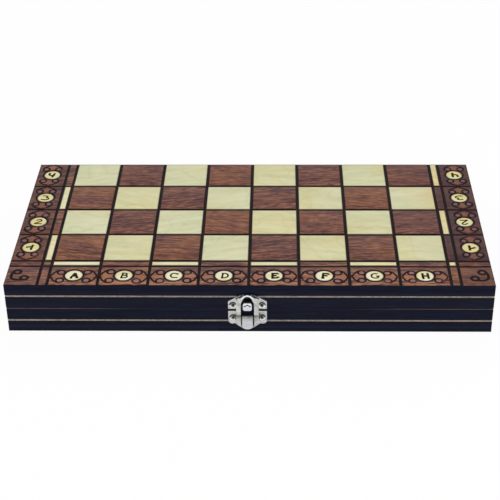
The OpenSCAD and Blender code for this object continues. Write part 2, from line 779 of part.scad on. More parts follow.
// Lays a chessman down, its head along +Y and the side view of a knight across X
module lie(man) {
    a = tilt(man);
    translate([0, man[1] * sin(a), field_z + lie_gap + foot_rim * sin(a) + man[1] * cos(a)])
        rotate([-90 - a, 0, 0]) children();
}

// Lays copies of a chessman in every place that its army keeps for it, white on the left
module men(side, man, tint) {
    color(tint) for (i = [0 : len(army) - 1], j = [0 : len(army[i]) - 1])
        if (army[i][j] == man)
            translate([side * (tray_w / 2 - row_x(i)), row_y(army[i], j), 0]) lie(man) children();
}

// A draught with a chamfered rim and a turned ring on both faces
module draught() {
    r = draught_d / 2;
    rim = 0.8;
    rotate_extrude() difference() {
        polygon([[0, 0], [r - rim, 0], [r, rim], [r, draught_t - rim], [r - rim, draught_t], [0, draught_t]]);
        for (z = [0, draught_t]) translate([r * 0.6, z]) circle(r = 1);
    }
}

module draughts(side, tint) {
    color(tint) for (i = [0 : stacks - 1], j = [0 : stack_n - 1])
        translate([side * (tray_w / 2 - stack_x), -tray_d / 2 + (i + 0.5) * (draught_d + pack_gap) + pack_gap,
                   field_z + lie_gap + j * (draught_t + run_gap)]) draught();
}

// A die with rounded corners and its pips drilled: opposite faces add up to seven
module die() {
    pip = die_size / 4;
    turns = [[0, 0, 0], [0, 90, 0], [90, 0, 0], [-90, 0, 0], [0, -90, 0], [180, 0, 0]];
    spots = [[[0, 0]], [[-1, -1], [1, 1]], [[-1, -1], [0, 0], [1, 1]], [[-1, -1], [-1, 1], [1, -1], [1, 1]],
             [[-1, -1], [-1, 1], [0, 0], [1, -1], [1, 1]],
             [[-1, -1], [-1, 0], [-1, 1], [1, -1], [1, 0], [1, 1]]];
    difference() {
        intersection() {
            cube(die_size, center = true);
            sphere(r = die_size * 0.74, $fn = 96);
        }
        for (n = [0 : 5], spot = spots[n])
            rotate(turns[n]) translate([spot[0] * pip, spot[1] * pip, die_size / 2 + 0.5])
                sphere(r = 1.1, $fn = 24);
    }
}

// A die lies behind each royal couple
module dice() {
    y = row_y(army[0], len(army[0])) + die_size;
    color("ivory") for (side = [-1, 1])
        translate([side * (tray_w / 2 - row_x(0)), y, field_z + lie_gap + die_size / 2])
            rotate([0, 0, side * 20]) rotate([0, 90 * (side + 1), 0]) die();
}

board("lower");  // lower_board
tiles("square", "lower", true, "sienna");  // lower_dark_squares
tiles("square", "lower", false, "khaki");  // lower_light_squares
tiles("strip", "lower", true, "sienna");  // lower_dark_strips
tiles("strip", "lower", false, "khaki");  // lower_light_strips
border("lower");  // lower_border
medallions("lower");  // lower_medallions
front_rail("lower");  // lower_front_rail
back_rail("lower");  // lower_back_rail
side_rail("lower", -1);  // lower_left_rail
side_rail("lower", 1);  // lower_right_rail
field("lower");  // lower_field
point_set("lower", 0, "saddlebrown");  // lower_dark_points
point_set("lower", 1, "indianred");  // lower_red_points
board("upper");  // upper_board
tiles("square", "upper", true, "sienna");  // upper_dark_squares
tiles("square", "upper", false, "khaki");  // upper_light_squares
tiles("strip", "upper", true, "sienna");  // upper_dark_strips
tiles("strip", "upper", false, "khaki");  // upper_light_strips
border("upper");  // upper_border
medallions("upper");  // upper_medallions
front_rail("upper");  // upper_front_rail
back_rail("upper");  // upper_back_rail
side_rail("upper", -1);  // upper_left_rail
side_rail("upper", 1);  // upper_right_rail
field("upper");  // upper_field
point_set("upper", 0, "saddlebrown");  // upper_dark_points
point_set("upper", 1, "indianred");  // upper_red_points
hinge_leaf(-1, "lower");  // left_hinge_lower_leaf
hinge_leaf(-1, "upper");  // left_hinge_upper_leaf
hinge_pin(-1);  // left_hinge_pin
hinge_leaf(1, "lower");  // right_hinge_lower_leaf
hinge_leaf(1, "upper");  // right_hinge_upper_leaf
hinge_pin(1);  // right_hinge_pin
hinge_screws("lower");  // lower_hinge_screws
hinge_screws("upper");  // upper_hinge_screws
hasp_plate();
hasp();
hasp_pin();
catch_plate();
latch_nails(-lower_nail_z);  // lower_latch_nails
latch_nails(upper_nail_z);  // upper_latch_nails
men(-1, KING, "tan") king();  // white_king
men(-1, QUEEN, "tan") queen();  // white_queen
men(-1, BISHOP, "tan") bishop();  // white_bishops
men(-1, KNIGHT, "tan") knight();  // white_knights
men(-1, ROOK, "tan") rook();  // white_rooks
men(-1, PAWN, "tan") pawn();  // white_pawns
men(1, KING, "saddlebrown") king();  // black_king
men(1, QUEEN, "saddlebrown") queen();  // black_queen
men(1, BISHOP, "saddlebrown") bishop();  // black_bishops
men(1, KNIGHT, "saddlebrown") knight();  // black_knights
men(1, ROOK, "saddlebrown") rook();  // black_rooks
men(1, PAWN, "saddlebrown") pawn();  // black_pawns
draughts(-1, "tan");  // light_draughts
draughts(1, "saddlebrown");  // dark_draughts
dice();
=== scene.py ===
import json
import math
import random
from functools import partialmethod

import bpy
from mathutils import Matrix, Vector

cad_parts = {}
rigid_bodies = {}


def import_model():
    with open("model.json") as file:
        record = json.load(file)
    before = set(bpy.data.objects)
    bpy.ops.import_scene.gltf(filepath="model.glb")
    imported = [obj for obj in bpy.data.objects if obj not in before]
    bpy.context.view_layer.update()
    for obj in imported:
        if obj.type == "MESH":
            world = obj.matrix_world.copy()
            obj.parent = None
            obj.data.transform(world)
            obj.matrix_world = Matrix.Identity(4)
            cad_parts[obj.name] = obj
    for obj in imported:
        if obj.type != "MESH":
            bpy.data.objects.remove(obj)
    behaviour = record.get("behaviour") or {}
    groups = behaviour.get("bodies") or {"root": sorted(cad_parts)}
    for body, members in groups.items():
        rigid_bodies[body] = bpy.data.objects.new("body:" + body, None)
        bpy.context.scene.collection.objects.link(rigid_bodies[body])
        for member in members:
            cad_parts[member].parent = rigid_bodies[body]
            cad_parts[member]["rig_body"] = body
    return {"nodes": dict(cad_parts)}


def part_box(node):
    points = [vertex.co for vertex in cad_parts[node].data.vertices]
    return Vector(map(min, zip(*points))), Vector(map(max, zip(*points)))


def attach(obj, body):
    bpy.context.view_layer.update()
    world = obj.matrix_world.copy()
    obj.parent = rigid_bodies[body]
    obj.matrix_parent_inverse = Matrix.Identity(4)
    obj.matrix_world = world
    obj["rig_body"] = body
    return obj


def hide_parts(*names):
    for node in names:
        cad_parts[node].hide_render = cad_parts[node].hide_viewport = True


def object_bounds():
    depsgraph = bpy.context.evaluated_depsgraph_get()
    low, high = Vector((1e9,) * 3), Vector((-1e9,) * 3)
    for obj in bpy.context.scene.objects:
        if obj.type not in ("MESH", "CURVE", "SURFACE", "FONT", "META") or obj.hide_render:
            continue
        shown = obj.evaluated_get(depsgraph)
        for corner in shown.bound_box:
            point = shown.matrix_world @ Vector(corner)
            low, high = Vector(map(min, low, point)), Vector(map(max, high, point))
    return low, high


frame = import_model()
nodes = frame["nodes"]
cadBox = [list(corner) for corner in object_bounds()]
mm = 0.001
random.seed(64)
print("frame loaded:", len(nodes), "nodes")

# the board's own pattern, in millimetres: the materials and the burnt work are laid out on it
board = {
    "halfLength": 175.0,
    "halfDepth": 87.5,
    "top": cadBox[1][2] / mm,
    "seam": cadBox[1][2] / mm / 2,
    "files": 8,
    "ranks": 4,  # on each half
    "square": 36.0,
    "strip": 7.0,
    "firstColumn": -144.0,  # left edge of the first square
    "firstRow": -56.5,  # and its front edge
    "stripColumn": 147.5,  # middle of the side strips
    "stripRow": -60.0,  # and of the front strip
    "letterRow": -75.5,
    "numberRow": -38.5,
    "letterColumn": -126.0,
    "numberColumn": 163.0,
    "discRadius": 6.5,
}


# shader sums: a wire is a socket that can be added, multiplied and compared
class Wire:
    def __init__(self, tree, socket):
        self.tree = tree
        self.socket = socket

    def node(self, kind, settings, inputs, output=0):
        made = self.tree.nodes.new(kind)
        for key, value in settings.items():
            setattr(made, key, value)
        for key, value in inputs.items():
            if isinstance(value, Wire):
                self.tree.links.new(value.socket, made.inputs[key])
            else:
                made.inputs[key].default_value = value
        return Wire(self.tree, made.outputs[output])

    def math(self, operation, *others):
        return self.node("ShaderNodeMath", {"operation": operation}, dict(enumerate((self, *others))))

    __neg__ = partialmethod(math, "MULTIPLY", -1)
    __add__ = __radd__ = partialmethod(math, "ADD")
    __sub__ = partialmethod(math, "SUBTRACT")
    __mul__ = partialmethod(math, "MULTIPLY")
    __truediv__ = partialmethod(math, "DIVIDE")
    __pow__ = partialmethod(math, "POWER")
    __gt__ = partialmethod(math, "GREATER_THAN")
    __lt__ = partialmethod(math, "LESS_THAN")
    __abs__ = partialmethod(math, "ABSOLUTE")
    __floor__ = partialmethod(math, "FLOOR")
    larger = partialmethod(math, "MAXIMUM")
    smaller = partialmethod(math, "MINIMUM")

    def __rsub__(self, other):
        return -self + other

    # how far the value lies from the nearest multiple of size
    def fromNearest(self, size):
        return (self + size / 2).math("FLOORED_MODULO", size) - size / 2

    # 0 below low, 1 above high
    def rise(self, low, high):
        smooth = {"interpolation_type": "SMOOTHSTEP"}
        return self.node("ShaderNodeMapRange", smooth, {0: self, 1: low, 2: high})

    # the wire's value chooses between two colours, each a wire or as it is read off a screen
    def choose(self, *colours):
        first, second = (tint(*colour) if isinstance(colour, tuple) else colour for colour in colours)
        return self.node("ShaderNodeMix", {"data_type": "RGBA"}, {0: self, 6: first, 7: second}, output=2)

    # stops are a place and a screen colour each
    def ramp(self, stops):
        ramp = self.node("ShaderNodeValToRGB", {}, {0: self})
        elements = ramp.socket.node.color_ramp.elements
        elements.remove(elements[0])
        for index, (place, *colour) in enumerate(stops):
            stop = elements.new(place) if index else elements[0]
            stop.position = place
            stop.color = tint(*colour)
        return ramp

    def parts(self):
        split = self.node("ShaderNodeSeparateXYZ", {}, {0: self})
        return [Wire(self.tree, socket) for socket in split.socket.node.outputs]

    def vector(self, x, y, z):
        return self.node("ShaderNodeCombineXYZ", {}, {0: x, 1: y, 2: z})

    # cloudy noise on this vector, which fine squeezes along each axis
    def cloud(self, fine=(1, 1, 1), scale=1.0, detail=2.0, roughness=0.5, distortion=0.0):
        squeezed = self.node("ShaderNodeVectorMath", {"operation": "MULTIPLY"}, {0: self, 1: fine})
        inputs = {"Vector": squeezed, "Scale": scale, "Detail": detail, "Roughness": roughness,
                  "Distortion": distortion}
        return self.node("ShaderNodeTexNoise", {}, inputs)

    def feed(self, node, socket):
        self.tree.links.new(self.socket, node.inputs[socket])


# a colour as it is read off a screen, 0 to 255, made linear by the sRGB curve
def tint(red, green, blue):
    def linear(value):
        value /= 255
        return value / 12.92 if value <= 0.04045 else ((value + 0.055) / 1.055) ** 2.4
    return (linear(red), linear(green), linear(blue), 1.0)


# a material, and the place on the piece in millimetres
def startMaterial(name, settings):
    material = bpy.data.materials.new(name)
    material.use_nodes = True
    tree = material.node_tree
    shader = tree.nodes["Principled BSDF"]
    for socket, value in settings.items():
        shader.inputs[socket].default_value = value
    metres = Wire(tree, tree.nodes.new("ShaderNodeTexCoord").outputs["Object"])
    place = metres.node("ShaderNodeVectorMath", {"operation": "SCALE"}, {0: metres, "Scale": 1 / mm})
    return material, place


# the grain varies the look's roughness; its bump is a strength and a depth in millimetres
def finish(material, colour, look, grain, relief, wear=0.0):
    shader = material.node_tree.nodes["Principled BSDF"]
    colour.feed(shader, "Base Color")
    roughness = look["roughness"] + (grain - 0.5) * look["shine"] + wear
    roughness.feed(shader, "Roughness")
    strength, depth = look["bump"]
    bump = relief.node("ShaderNodeBump", {}, {"Height": relief, "Strength": strength, "Distance": depth * mm})
    bump.feed(shader, "Normal")
    return material


# lines burnt into the wood, and the letters burnt into the inlays
burnLook = {"dark": (30, 15, 20), "light": (62, 36, 38), "worn": (116, 66, 52), "roughness": 0.75}
inkLook = {"dark": (20, 15, 20), "light": (52, 38, 38), "worn": (84, 64, 50), "roughness": 0.7}
charLook = {
    "charNoise": {"scale": 0.9, "detail": 5.0, "roughness": 0.65},
    "charFrom": (0.45, 0.75),
    "wornNoise": {"scale": 0.11},
    "wornFrom": (0.56, 0.68),
    "wornDepth": 0.45,
    "shine": 0.3,
    "bump": (0.5, 0.05),
}


def makeBurn(name, look):
    look = {**charLook, **look}
    material, place = startMaterial(name, {"Specular IOR Level": 0.15})
    char = place.cloud(**look["charNoise"])
    colour = char.rise(*look["charFrom"]).choose(look["dark"], look["light"])
    worn = place.cloud(**look["wornNoise"]).rise(*look["wornFrom"])
    colour = (worn * look["wornDepth"]).choose(colour, look["worn"])
    return finish(material, colour, look, char, char)


# burnt scrollwork of the border blocks, in millimetres from the middle of a block
scroll = {
    "line": 0.78,  # half the width of a burnt line
    "proud": 0.045,  # how far the char stands up
    "outward": 1.1,  # the scrolls sit this much nearer the edge than the inlay
    "loopMiddle": (9.5, 5.1),
    "loopSize": (2.8, 2.6),
    "loopTurn": (55, -325),  # where a curl starts and how far it turns, in degrees
    "sweep": [(11.2, 7.8), (13.4, 6.6), (15.6, 3.2), (16.8, 0.2)],
    "wobble": 0.035,  # share by which copies differ in size
    "wobbleTurn": 60,  # degrees of turn for a wobble of one
    "corner": [(-8.0, 3.2), (-8.4, -0.6), (-7.9, -4.1), (-5.2, -5.7), (-1.6, -5.7)],
    "cornerCurls": [(-4.5, 4.5), (1.7, -3.1)],
    "cornerCurl": (2.7, 2.5),
    "cornerTurns": [(-150, 330), (-90, 330)],
    "cornerLine": 1.10,
    "cornerWobble": 0.01,
    # painted highlight: the wood inside a curl is painted lighter, in shares of the curl's size within its
    # line
    "loopHighlight": (150, 122, 128),
    "loopHighlightLine": 0.3,
    "loopHighlightFrom": (0.15, 1.10),
    "loopHighlightDepth": 0.36,
    # and it glows between the curls
    "glow": (176, 112, 80),
    "glowMiddle": 11.5,
    "glowSize": (5.0, 6.5),
    "glowFrom": (0.5, 1.0),
    "glowDepth": 0.35,
    # a ring is burnt round each inlay, in millimetres past its rim
    "ringFrom": (1.2, 1.7),
    "ringDepth": 0.9,
}

# where the border is darker or warmer, in millimetres on the board: painted shadow on its right and left
# columns and its right-front corner, painted sunlight along its front
tone = {
    "shadow": (64, 42, 50),
    "sun": (186, 132, 98),
    "behind": (-62.0, -48.0),  # from the front border to the side borders
    "behindWave": 12,
    "right": (142.0, 147.0),
    "rightDepth": 0.75,
    "left": (150.0, 154.0),
    "leftDepth": 0.45,
    "corner": (205.0, 235.0),
    "cornerDepth": 0.50,
    "front": (64.0, 86.0),
    "frontEnds": (136.0, 156.0),
    "frontFigure": (0.38, 0.60),
    "frontDepth": 0.55,
}

# the squares and light strips: painted shade has darkened them at the right, and the cutter scorched their
# edges
tileTone = {
    "shadeSlope": 0.3,
    "shadeWave": 60,
    "oilAndShadeFrom": (110.0, 165.0),
    "squareEdge": (-1.70, -1.20),  # mm from the edge of a square
    "stripEdge": (1.50, 2.00),  # mm from the middle of a strip
}

# wood of the board: every tile takes its own cut from the log
veneerLooks = {
    "mahoganyVeneer": {
        "stops": [(0.33, 66, 39, 44), (0.42, 97, 61, 59), (0.50, 122, 82, 72),
                  (0.58, 144, 97, 79), (0.69, 176, 121, 91)],
        "warm": (146, 96, 60), "cool": (90, 60, 62), "line": (66, 40, 40), "turn": 0.42,
        "ringCount": 9.0, "ringDepth": 0.40, "length": 0.022, "width": 0.36, "slant": 0.40,
        "streak": 0.75, "fibre": 1.15, "pore": 0.35, "roughness": 0.52,
        "scorch": 0.8, "oil": (84, 52, 60), "oiled": 0.45},
    "borderVeneer": {
        "stops": [(0.32, 70, 44, 50), (0.42, 98, 66, 62), (0.50, 130, 92, 78),
                  (0.58, 156, 112, 84), (0.70, 186, 136, 98)],
        "warm": (158, 100, 62), "cool": (86, 56, 66), "line": (64, 38, 42), "turn": 0.40,
        "ringCount": 7.0, "ringDepth": 0.28, "length": 0.024, "width": 0.36, "slant": 0.15,
        "streak": 1.0, "fibre": 0.8, "pore": 0.35, "roughness": 0.52},
    "mapleVeneer": {
        "stops": [(0.36, 202, 197, 148), (0.46, 210, 207, 164), (0.54, 215, 213, 174),
                  (0.66, 223, 222, 188)],
        "warm": (217, 200, 140), "cool": (202, 212, 182), "line": (184, 172, 118), "turn": 0.32,
        "ringCount": 7.0, "ringDepth": 0.22, "length": 0.014, "width": 0.09, "slant": 0.60,
        "streak": 0.8, "fibre": 0.35, "pore": 0.05, "roughness": 0.50,
        "scorch": 0.45, "oil": (216, 180, 108), "oiled": 0.42},
    "paleStripVeneer": {
        "stops": [(0.36, 214, 206, 158), (0.50, 226, 220, 178), (0.64, 234, 230, 196)],
        "warm": (226, 206, 142), "cool": (222, 226, 194), "line": (190, 174, 118), "turn": 0.30,
        "ringCount": 5.0, "ringDepth": 0.20, "length": 0.020, "width": 0.11, "slant": 0.20,
        "streak": 1.0, "fibre": 0.3, "pore": 0.05, "roughness": 0.50,
        "scorch": 0.80, "oil": (216, 184, 112), "oiled": 0.50},
}

# what all four woods share
timber = {
    "logStep": 900,  # mm that the cuts of two tiles may lie apart in the log
    "streakSlice": 40, "fibreSlice": 40, "patchSlice": 60,
    "streakNoise": {"detail": 6.0, "roughness": 0.64, "distortion": 0.7},
    "fibreNoise": {"fine": (6.0, 2.6, 1.0), "detail": 3.0, "roughness": 0.6, "distortion": 0.3},
    "patchNoise": {"fine": (1.4, 0.20, 1.0), "distortion": 0.4},
    "poreNoise": {"fine": (0.11, 1.5, 1.5)},
    "poreFrom": (0.52, 0.68),
    "ringSharp": 7.0,
    "warmCut": 0.35,  # shares of the tile's own number and of its streaks in its warmth
    "warmStreak": 0.5,
    "warmFrom": (0.76, 1.12),
    "coolShare": 0.8,
    "shine": 0.25,
    "poreShine": 0.10,
    "relief": 0.5,
    "bump": (0.35, 0.06),
}


# 1 on the border along the front
def alongFront(y):
    return y < board["firstRow"] - board["strip"]


# 1 on the corner blocks, where no inlay sits
def inCorner(x, y):
    return (abs(x) > board["strip"] - board["firstColumn"]) * alongFront(y)


# how far a point of the border lies from the middle of its block, along the block and outward
def blockPlace(x, y):
    isFront = alongFront(y)
    fileAside = (x - board["letterColumn"]).fromNearest(board["square"])
    rankAside = (y - board["numberRow"]).fromNearest(board["square"])
    along = isFront * fileAside + (1 - isFront) * rankAside
    outward = isFront * (board["letterRow"] - y) + (1 - isFront) * (abs(x) - board["numberColumn"])
    return along, outward


# painted shadow at both ends of the border and its right-front corner, and painted sunlight along its front
def toneBorder(colour, x, y, streak, figure):
    behind = (y + streak * tone["behindWave"]).rise(*tone["behind"])
    right = behind * x.rise(*tone["right"])
    colour = (right * tone["rightDepth"]).choose(colour, tone["shadow"])
    left = behind * (-x).rise(*tone["left"])
    colour = (left * tone["leftDepth"]).choose(colour, tone["shadow"])
    corner = (x - y).rise(*tone["corner"])
    colour = (corner * tone["cornerDepth"]).choose(colour, tone["shadow"])
    sunny = (-y).rise(*tone["front"]) * (1 - abs(x).rise(*tone["frontEnds"])) \
        * figure.rise(*tone["frontFigure"])
    return (sunny * tone["frontDepth"]).choose(colour, tone["sun"])


# a painted highlight inside each curl, an orange tone between the curls and a burnt ring round each inlay
def burnishBlocks(colour, x, y):
    isBlock = 1 - inCorner(x, y)
    along, outward = blockPlace(x, y)
    aside = outward - scroll["outward"]
    loopX, loopY = scroll["loopMiddle"]
    sizeX, sizeY = (size - scroll["loopHighlightLine"] for size in scroll["loopSize"])
    fromCurl = ((abs(along) - loopX) / sizeX) ** 2.0 + ((abs(aside) - loopY) / sizeY) ** 2.0
    loopHighlight = (1 - fromCurl.rise(*scroll["loopHighlightFrom"])) * isBlock
    colour = (loopHighlight * scroll["loopHighlightDepth"]).choose(colour, scroll["loopHighlight"])
    sizeX, sizeY = scroll["glowSize"]
    fromGlow = abs(abs(along) - scroll["glowMiddle"]) / sizeX + abs(aside) / sizeY
    glow = (1 - fromGlow.rise(*scroll["glowFrom"])) * isBlock
    colour = (glow * scroll["glowDepth"]).choose(colour, scroll["glow"])
    pastRim = (along * along + outward * outward) ** 0.5 - board["discRadius"]
    ring = (1 - pastRim.rise(*scroll["ringFrom"])) * isBlock
    return (ring * scroll["ringDepth"]).choose(colour, burnLook["dark"])


def scorchTile(colour, x, y, column, row, patch, look):
    # painted shade: the squares and light strips darken towards the right end of the board
    oiled = (x + y * tileTone["shadeSlope"] + (patch - 0.5) * tileTone["shadeWave"]).rise(*tileTone["oilAndShadeFrom"])
    colour = (oiled * look["oiled"]).choose(colour, look["oil"])
    asideX = abs(x - (column + 0.5) * board["square"] - board["firstColumn"])
    asideY = abs(y - (row + 0.5) * board["square"] - board["firstRow"])
    squareEdge = (asideX.larger(asideY) - board["square"] / 2).rise(*tileTone["squareEdge"])
    stripEdge = (abs(x) - board["stripColumn"]).larger(board["stripRow"] - y).rise(*tileTone["stripEdge"])
    return (squareEdge.larger(stripEdge) * look["scorch"]).choose(colour, burnLook["dark"])


def makeVeneer(name, look):
    look = {**timber, **look}
    material, place = startMaterial(name, {"Specular IOR Level": 0.14})
    x, y, z = place.parts()
    column = math.floor((x - board["firstColumn"]) / board["square"])
    row = math.floor((y - board["firstRow"]) / board["square"])
    tile = place.vector(column + 0.5, row + 0.5, z > board["seam"])
    cut = tile.node("ShaderNodeTexWhiteNoise", {"noise_dimensions": "3D"}, {0: tile}, output="Color")
    first, second, third = cut.parts()
    along = (x + first * look["logStep"]) * look["length"]
    slant = (second - 0.5) * look["slant"]
    across = (y + slant * x + third * look["logStep"]) * look["width"]
    streak = place.vector(along, across, third * look["streakSlice"]).cloud(**look["streakNoise"])
    fibre = place.vector(along, across, second * look["fibreSlice"]).cloud(**look["fibreNoise"])
    patch = place.vector(along, across, first * look["patchSlice"]).cloud(**look["patchNoise"])
    rings = (patch * look["ringCount"]).math("FRACT")
    ringLine = (1 - abs(rings - 0.5) * 2) ** look["ringSharp"]
    pore = place.cloud(**look["poreNoise"]).rise(*look["poreFrom"])
    figure = 0.5 + (streak - 0.5) * look["streak"] + (fibre - 0.5) * look["fibre"]
    warmth = (second * look["warmCut"] + patch + streak * look["warmStreak"]).rise(*look["warmFrom"])
    colour = (warmth * look["turn"]).choose(figure.ramp(look["stops"]), look["warm"])
    colour = ((1 - warmth) * look["turn"] * look["coolShare"]).choose(colour, look["cool"])
    colour = (ringLine * look["ringDepth"]).choose(colour, look["line"])
    colour = (pore * look["pore"]).choose(colour, look["line"])
    if "scorch" in look:
        colour = scorchTile(colour, x, y, column, row, patch, look)
    else:
        colour = burnishBlocks(toneBorder(colour, x, y, streak, figure), x, y)
    return finish(material, colour, look, streak, streak * look["relief"] - pore, pore * look["poreShine"])


# black stained wood, with the bare groove round each half and the rubbed rims at the seam
blackLook = {
    "stain": (12, 16, 32),
    "stainLight": (21, 26, 46),
    "board": (22, 11, 15),
    "boardLight": (40, 24, 28),
    "bare": (204, 190, 176),
    "bareDark": (166, 150, 138),
    "rubbed": (122, 104, 104),
    "grain": {"fine": (0.05, 0.05, 0.9), "detail": 5.0, "roughness": 0.6, "distortion": 0.3},
    "grainFrom": (0.35, 0.70),
    "pore": {"fine": (0.22, 0.22, 3.0)},
    "poreFrom": (0.58, 0.72),
    "smear": {"fine": (0.5, 0.5, 0.5), "detail": 3.0, "roughness": 0.6},
    "bareFrom": (0.30, 0.62),
    "skin": 0.1,  # mm that the outer faces' stain goes into the boards
    "grooveHeight": board["seam"] - 10,  # middle of a groove, above and below the seam
    "grooveHalf": 0.72,
    "grooveFrom": 0.22,  # the stain reaches this deep into a groove
    "grooveRagged": 0.35,
    "grooveTo": 1.4,
    "rub": {"fine": (0.08, 0.08, 0.2), "detail": 4.0, "roughness": 0.6},
    "rubHeight": 0.50,  # the rims are rubbed this far from the seam, and this deep
    "rubDeep": 0.45,
    "rubLeast": 0.25,
    "rubEnds": (0.35, 0.85),
    "roughness": 0.50,
    "shine": 0.30,
    "poreShine": 0.08,
    "grainRelief": 0.7,
    "poreRelief": 0.6,
    "bump": (0.30, 0.05),
}


# groove and rubbed rim of a rail; inside is the depth under its outer face
def bareWood(colour, place, inside, look):
    x, y, z = place.parts()
    fromSeam = abs(z - board["seam"])
    smear = place.cloud(**look["smear"])
    groove = (inside > look["grooveFrom"] + (smear - 0.5) * look["grooveRagged"]) \
        * (inside < look["grooveTo"]) \
        * (abs(fromSeam - look["grooveHeight"]) < look["grooveHalf"])
    bare = smear.rise(*look["bareFrom"]).choose(look["bareDark"], look["bare"])
    colour = groove.choose(colour, bare)
    atEnds = (abs(x) / board["halfLength"]).rise(*look["rubEnds"])
    rubbed = (fromSeam < look["rubHeight"]) * (inside < look["rubDeep"]) \
        * place.cloud(**look["rub"]) * (look["rubLeast"] + atEnds)
    return rubbed.choose(colour, look["rubbed"])


def makeBlackWood(name, look, isRail):
    material, place = startMaterial(name, {"Specular IOR Level": 0.08})
    x, y = place.parts()[:2]
    grain = place.cloud(**look["grain"])
    pore = place.cloud(**look["pore"]).rise(*look["poreFrom"])
    shade = grain.rise(*look["grainFrom"])
    colour = shade.choose(look["stain"], look["stainLight"])
    inside = (board["halfLength"] - abs(x)).smaller(board["halfDepth"] - abs(y))
    if isRail:
        colour = bareWood(colour, place, inside, look)
    else:
        warm = shade.choose(look["board"], look["boardLight"])
        colour = (inside > look["skin"]).choose(colour, warm)
    relief = grain * look["grainRelief"] - pore * look["poreRelief"]
    return finish(material, colour, look, grain, relief, pore * look["poreShine"])


# pale round inlays, scorched along their rim
inlayLook = {
    "light": (230, 226, 184),
    "deep": (212, 204, 154),
    "heart": (222, 214, 128),
    "oil": (222, 200, 118),
    "front": (242, 242, 222),
    "scorch": (110, 84, 50),
    "char": (62, 42, 32),
    "grain": {"fine": (0.10, 0.9, 1.0), "detail": 4.0, "roughness": 0.6, "distortion": 0.5},
    "grainFrom": (0.3, 0.7),
    "heartFrom": (1.0, 5.0),
    "heartDepth": 0.55,
    "patch": {"fine": (0.05, 0.09, 1.0)},
    "oilAndShadeFrom": (0.48, 0.62),
    "oilDepth": 0.6,
    "frontFrom": (0.46, 0.60),
    "frontOiled": 0.5,
    "frontDepth": 0.45,
    "ragged": 1.2,
    "scorchFrom": (-1.5, 0.3),  # mm from the rim
    "scorchDepth": 0.6,
    "charFrom": (-0.6, -0.1),
    "charDepth": 0.95,
    "roughness": 0.48,
    "shine": 0.2,
    "bump": (0.3, 0.04),
}


def makeInlay(name, look):
    material, place = startMaterial(name, {"Specular IOR Level": 0.14})
    x, y = place.parts()[:2]
    along, outward = blockPlace(x, y)
    reach = (along * along + outward * outward) ** 0.5
    grain = place.cloud(**look["grain"])
    colour = grain.rise(*look["grainFrom"]).choose(look["deep"], look["light"])
    heart = 1 - reach.rise(*look["heartFrom"])
    colour = (heart * look["heartDepth"]).choose(colour, look["heart"])
    patch = place.cloud(**look["patch"])
    oiled = patch.rise(*look["oilAndShadeFrom"])
    colour = (oiled * look["oilDepth"]).choose(colour, look["oil"])
    # painted light: the inlays along the front are lighter, less so on the oil patches
    litShare = 1 - patch.rise(*look["frontFrom"]) * look["frontOiled"]
    bright = (y < board["stripRow"]) * litShare
    colour = (bright * look["frontDepth"]).choose(colour, look["front"])
    pastRim = reach + (grain - 0.5) * look["ragged"] - board["discRadius"]
    scorched = pastRim.rise(*look["scorchFrom"])
    colour = (scorched * look["scorchDepth"]).choose(colour, look["scorch"])
    charred = pastRim.rise(*look["charFrom"])
    colour = (charred * look["charDepth"]).choose(colour, look["char"])
    return finish(material, colour, look, grain, grain)


# plated metal, lightly handled; both nickels are the latch's
metalLooks = {
    "plateNickel": {"bright": (204, 204, 204), "dull": (166, 168, 164), "roughness": 0.28, "shine": 0.20,
                    "rubbed": 0.30},
    "haspNickel": {"bright": (210, 210, 206), "dull": (172, 174, 166), "roughness": 0.26, "shine": 0.18,
                   "rubbed": 0.30},
    "brassPlate": {"bright": (226, 190, 112), "dull": (170, 132, 66), "roughness": 0.26, "shine": 0.25},
}
metalSkin = {
    "smudge": {"scale": 0.35, "detail": 5.0, "roughness": 0.62, "distortion": 0.4},
    "smudgeFrom": (0.35, 0.68),
    "brushed": {"fine": (0.8, 0.8, 5.0), "scale": 2.0, "detail": 4.0, "roughness": 0.7},
    "brushedShine": 0.12,
    "relief": 0.4,
    "bump": (0.25, 0.03),
}

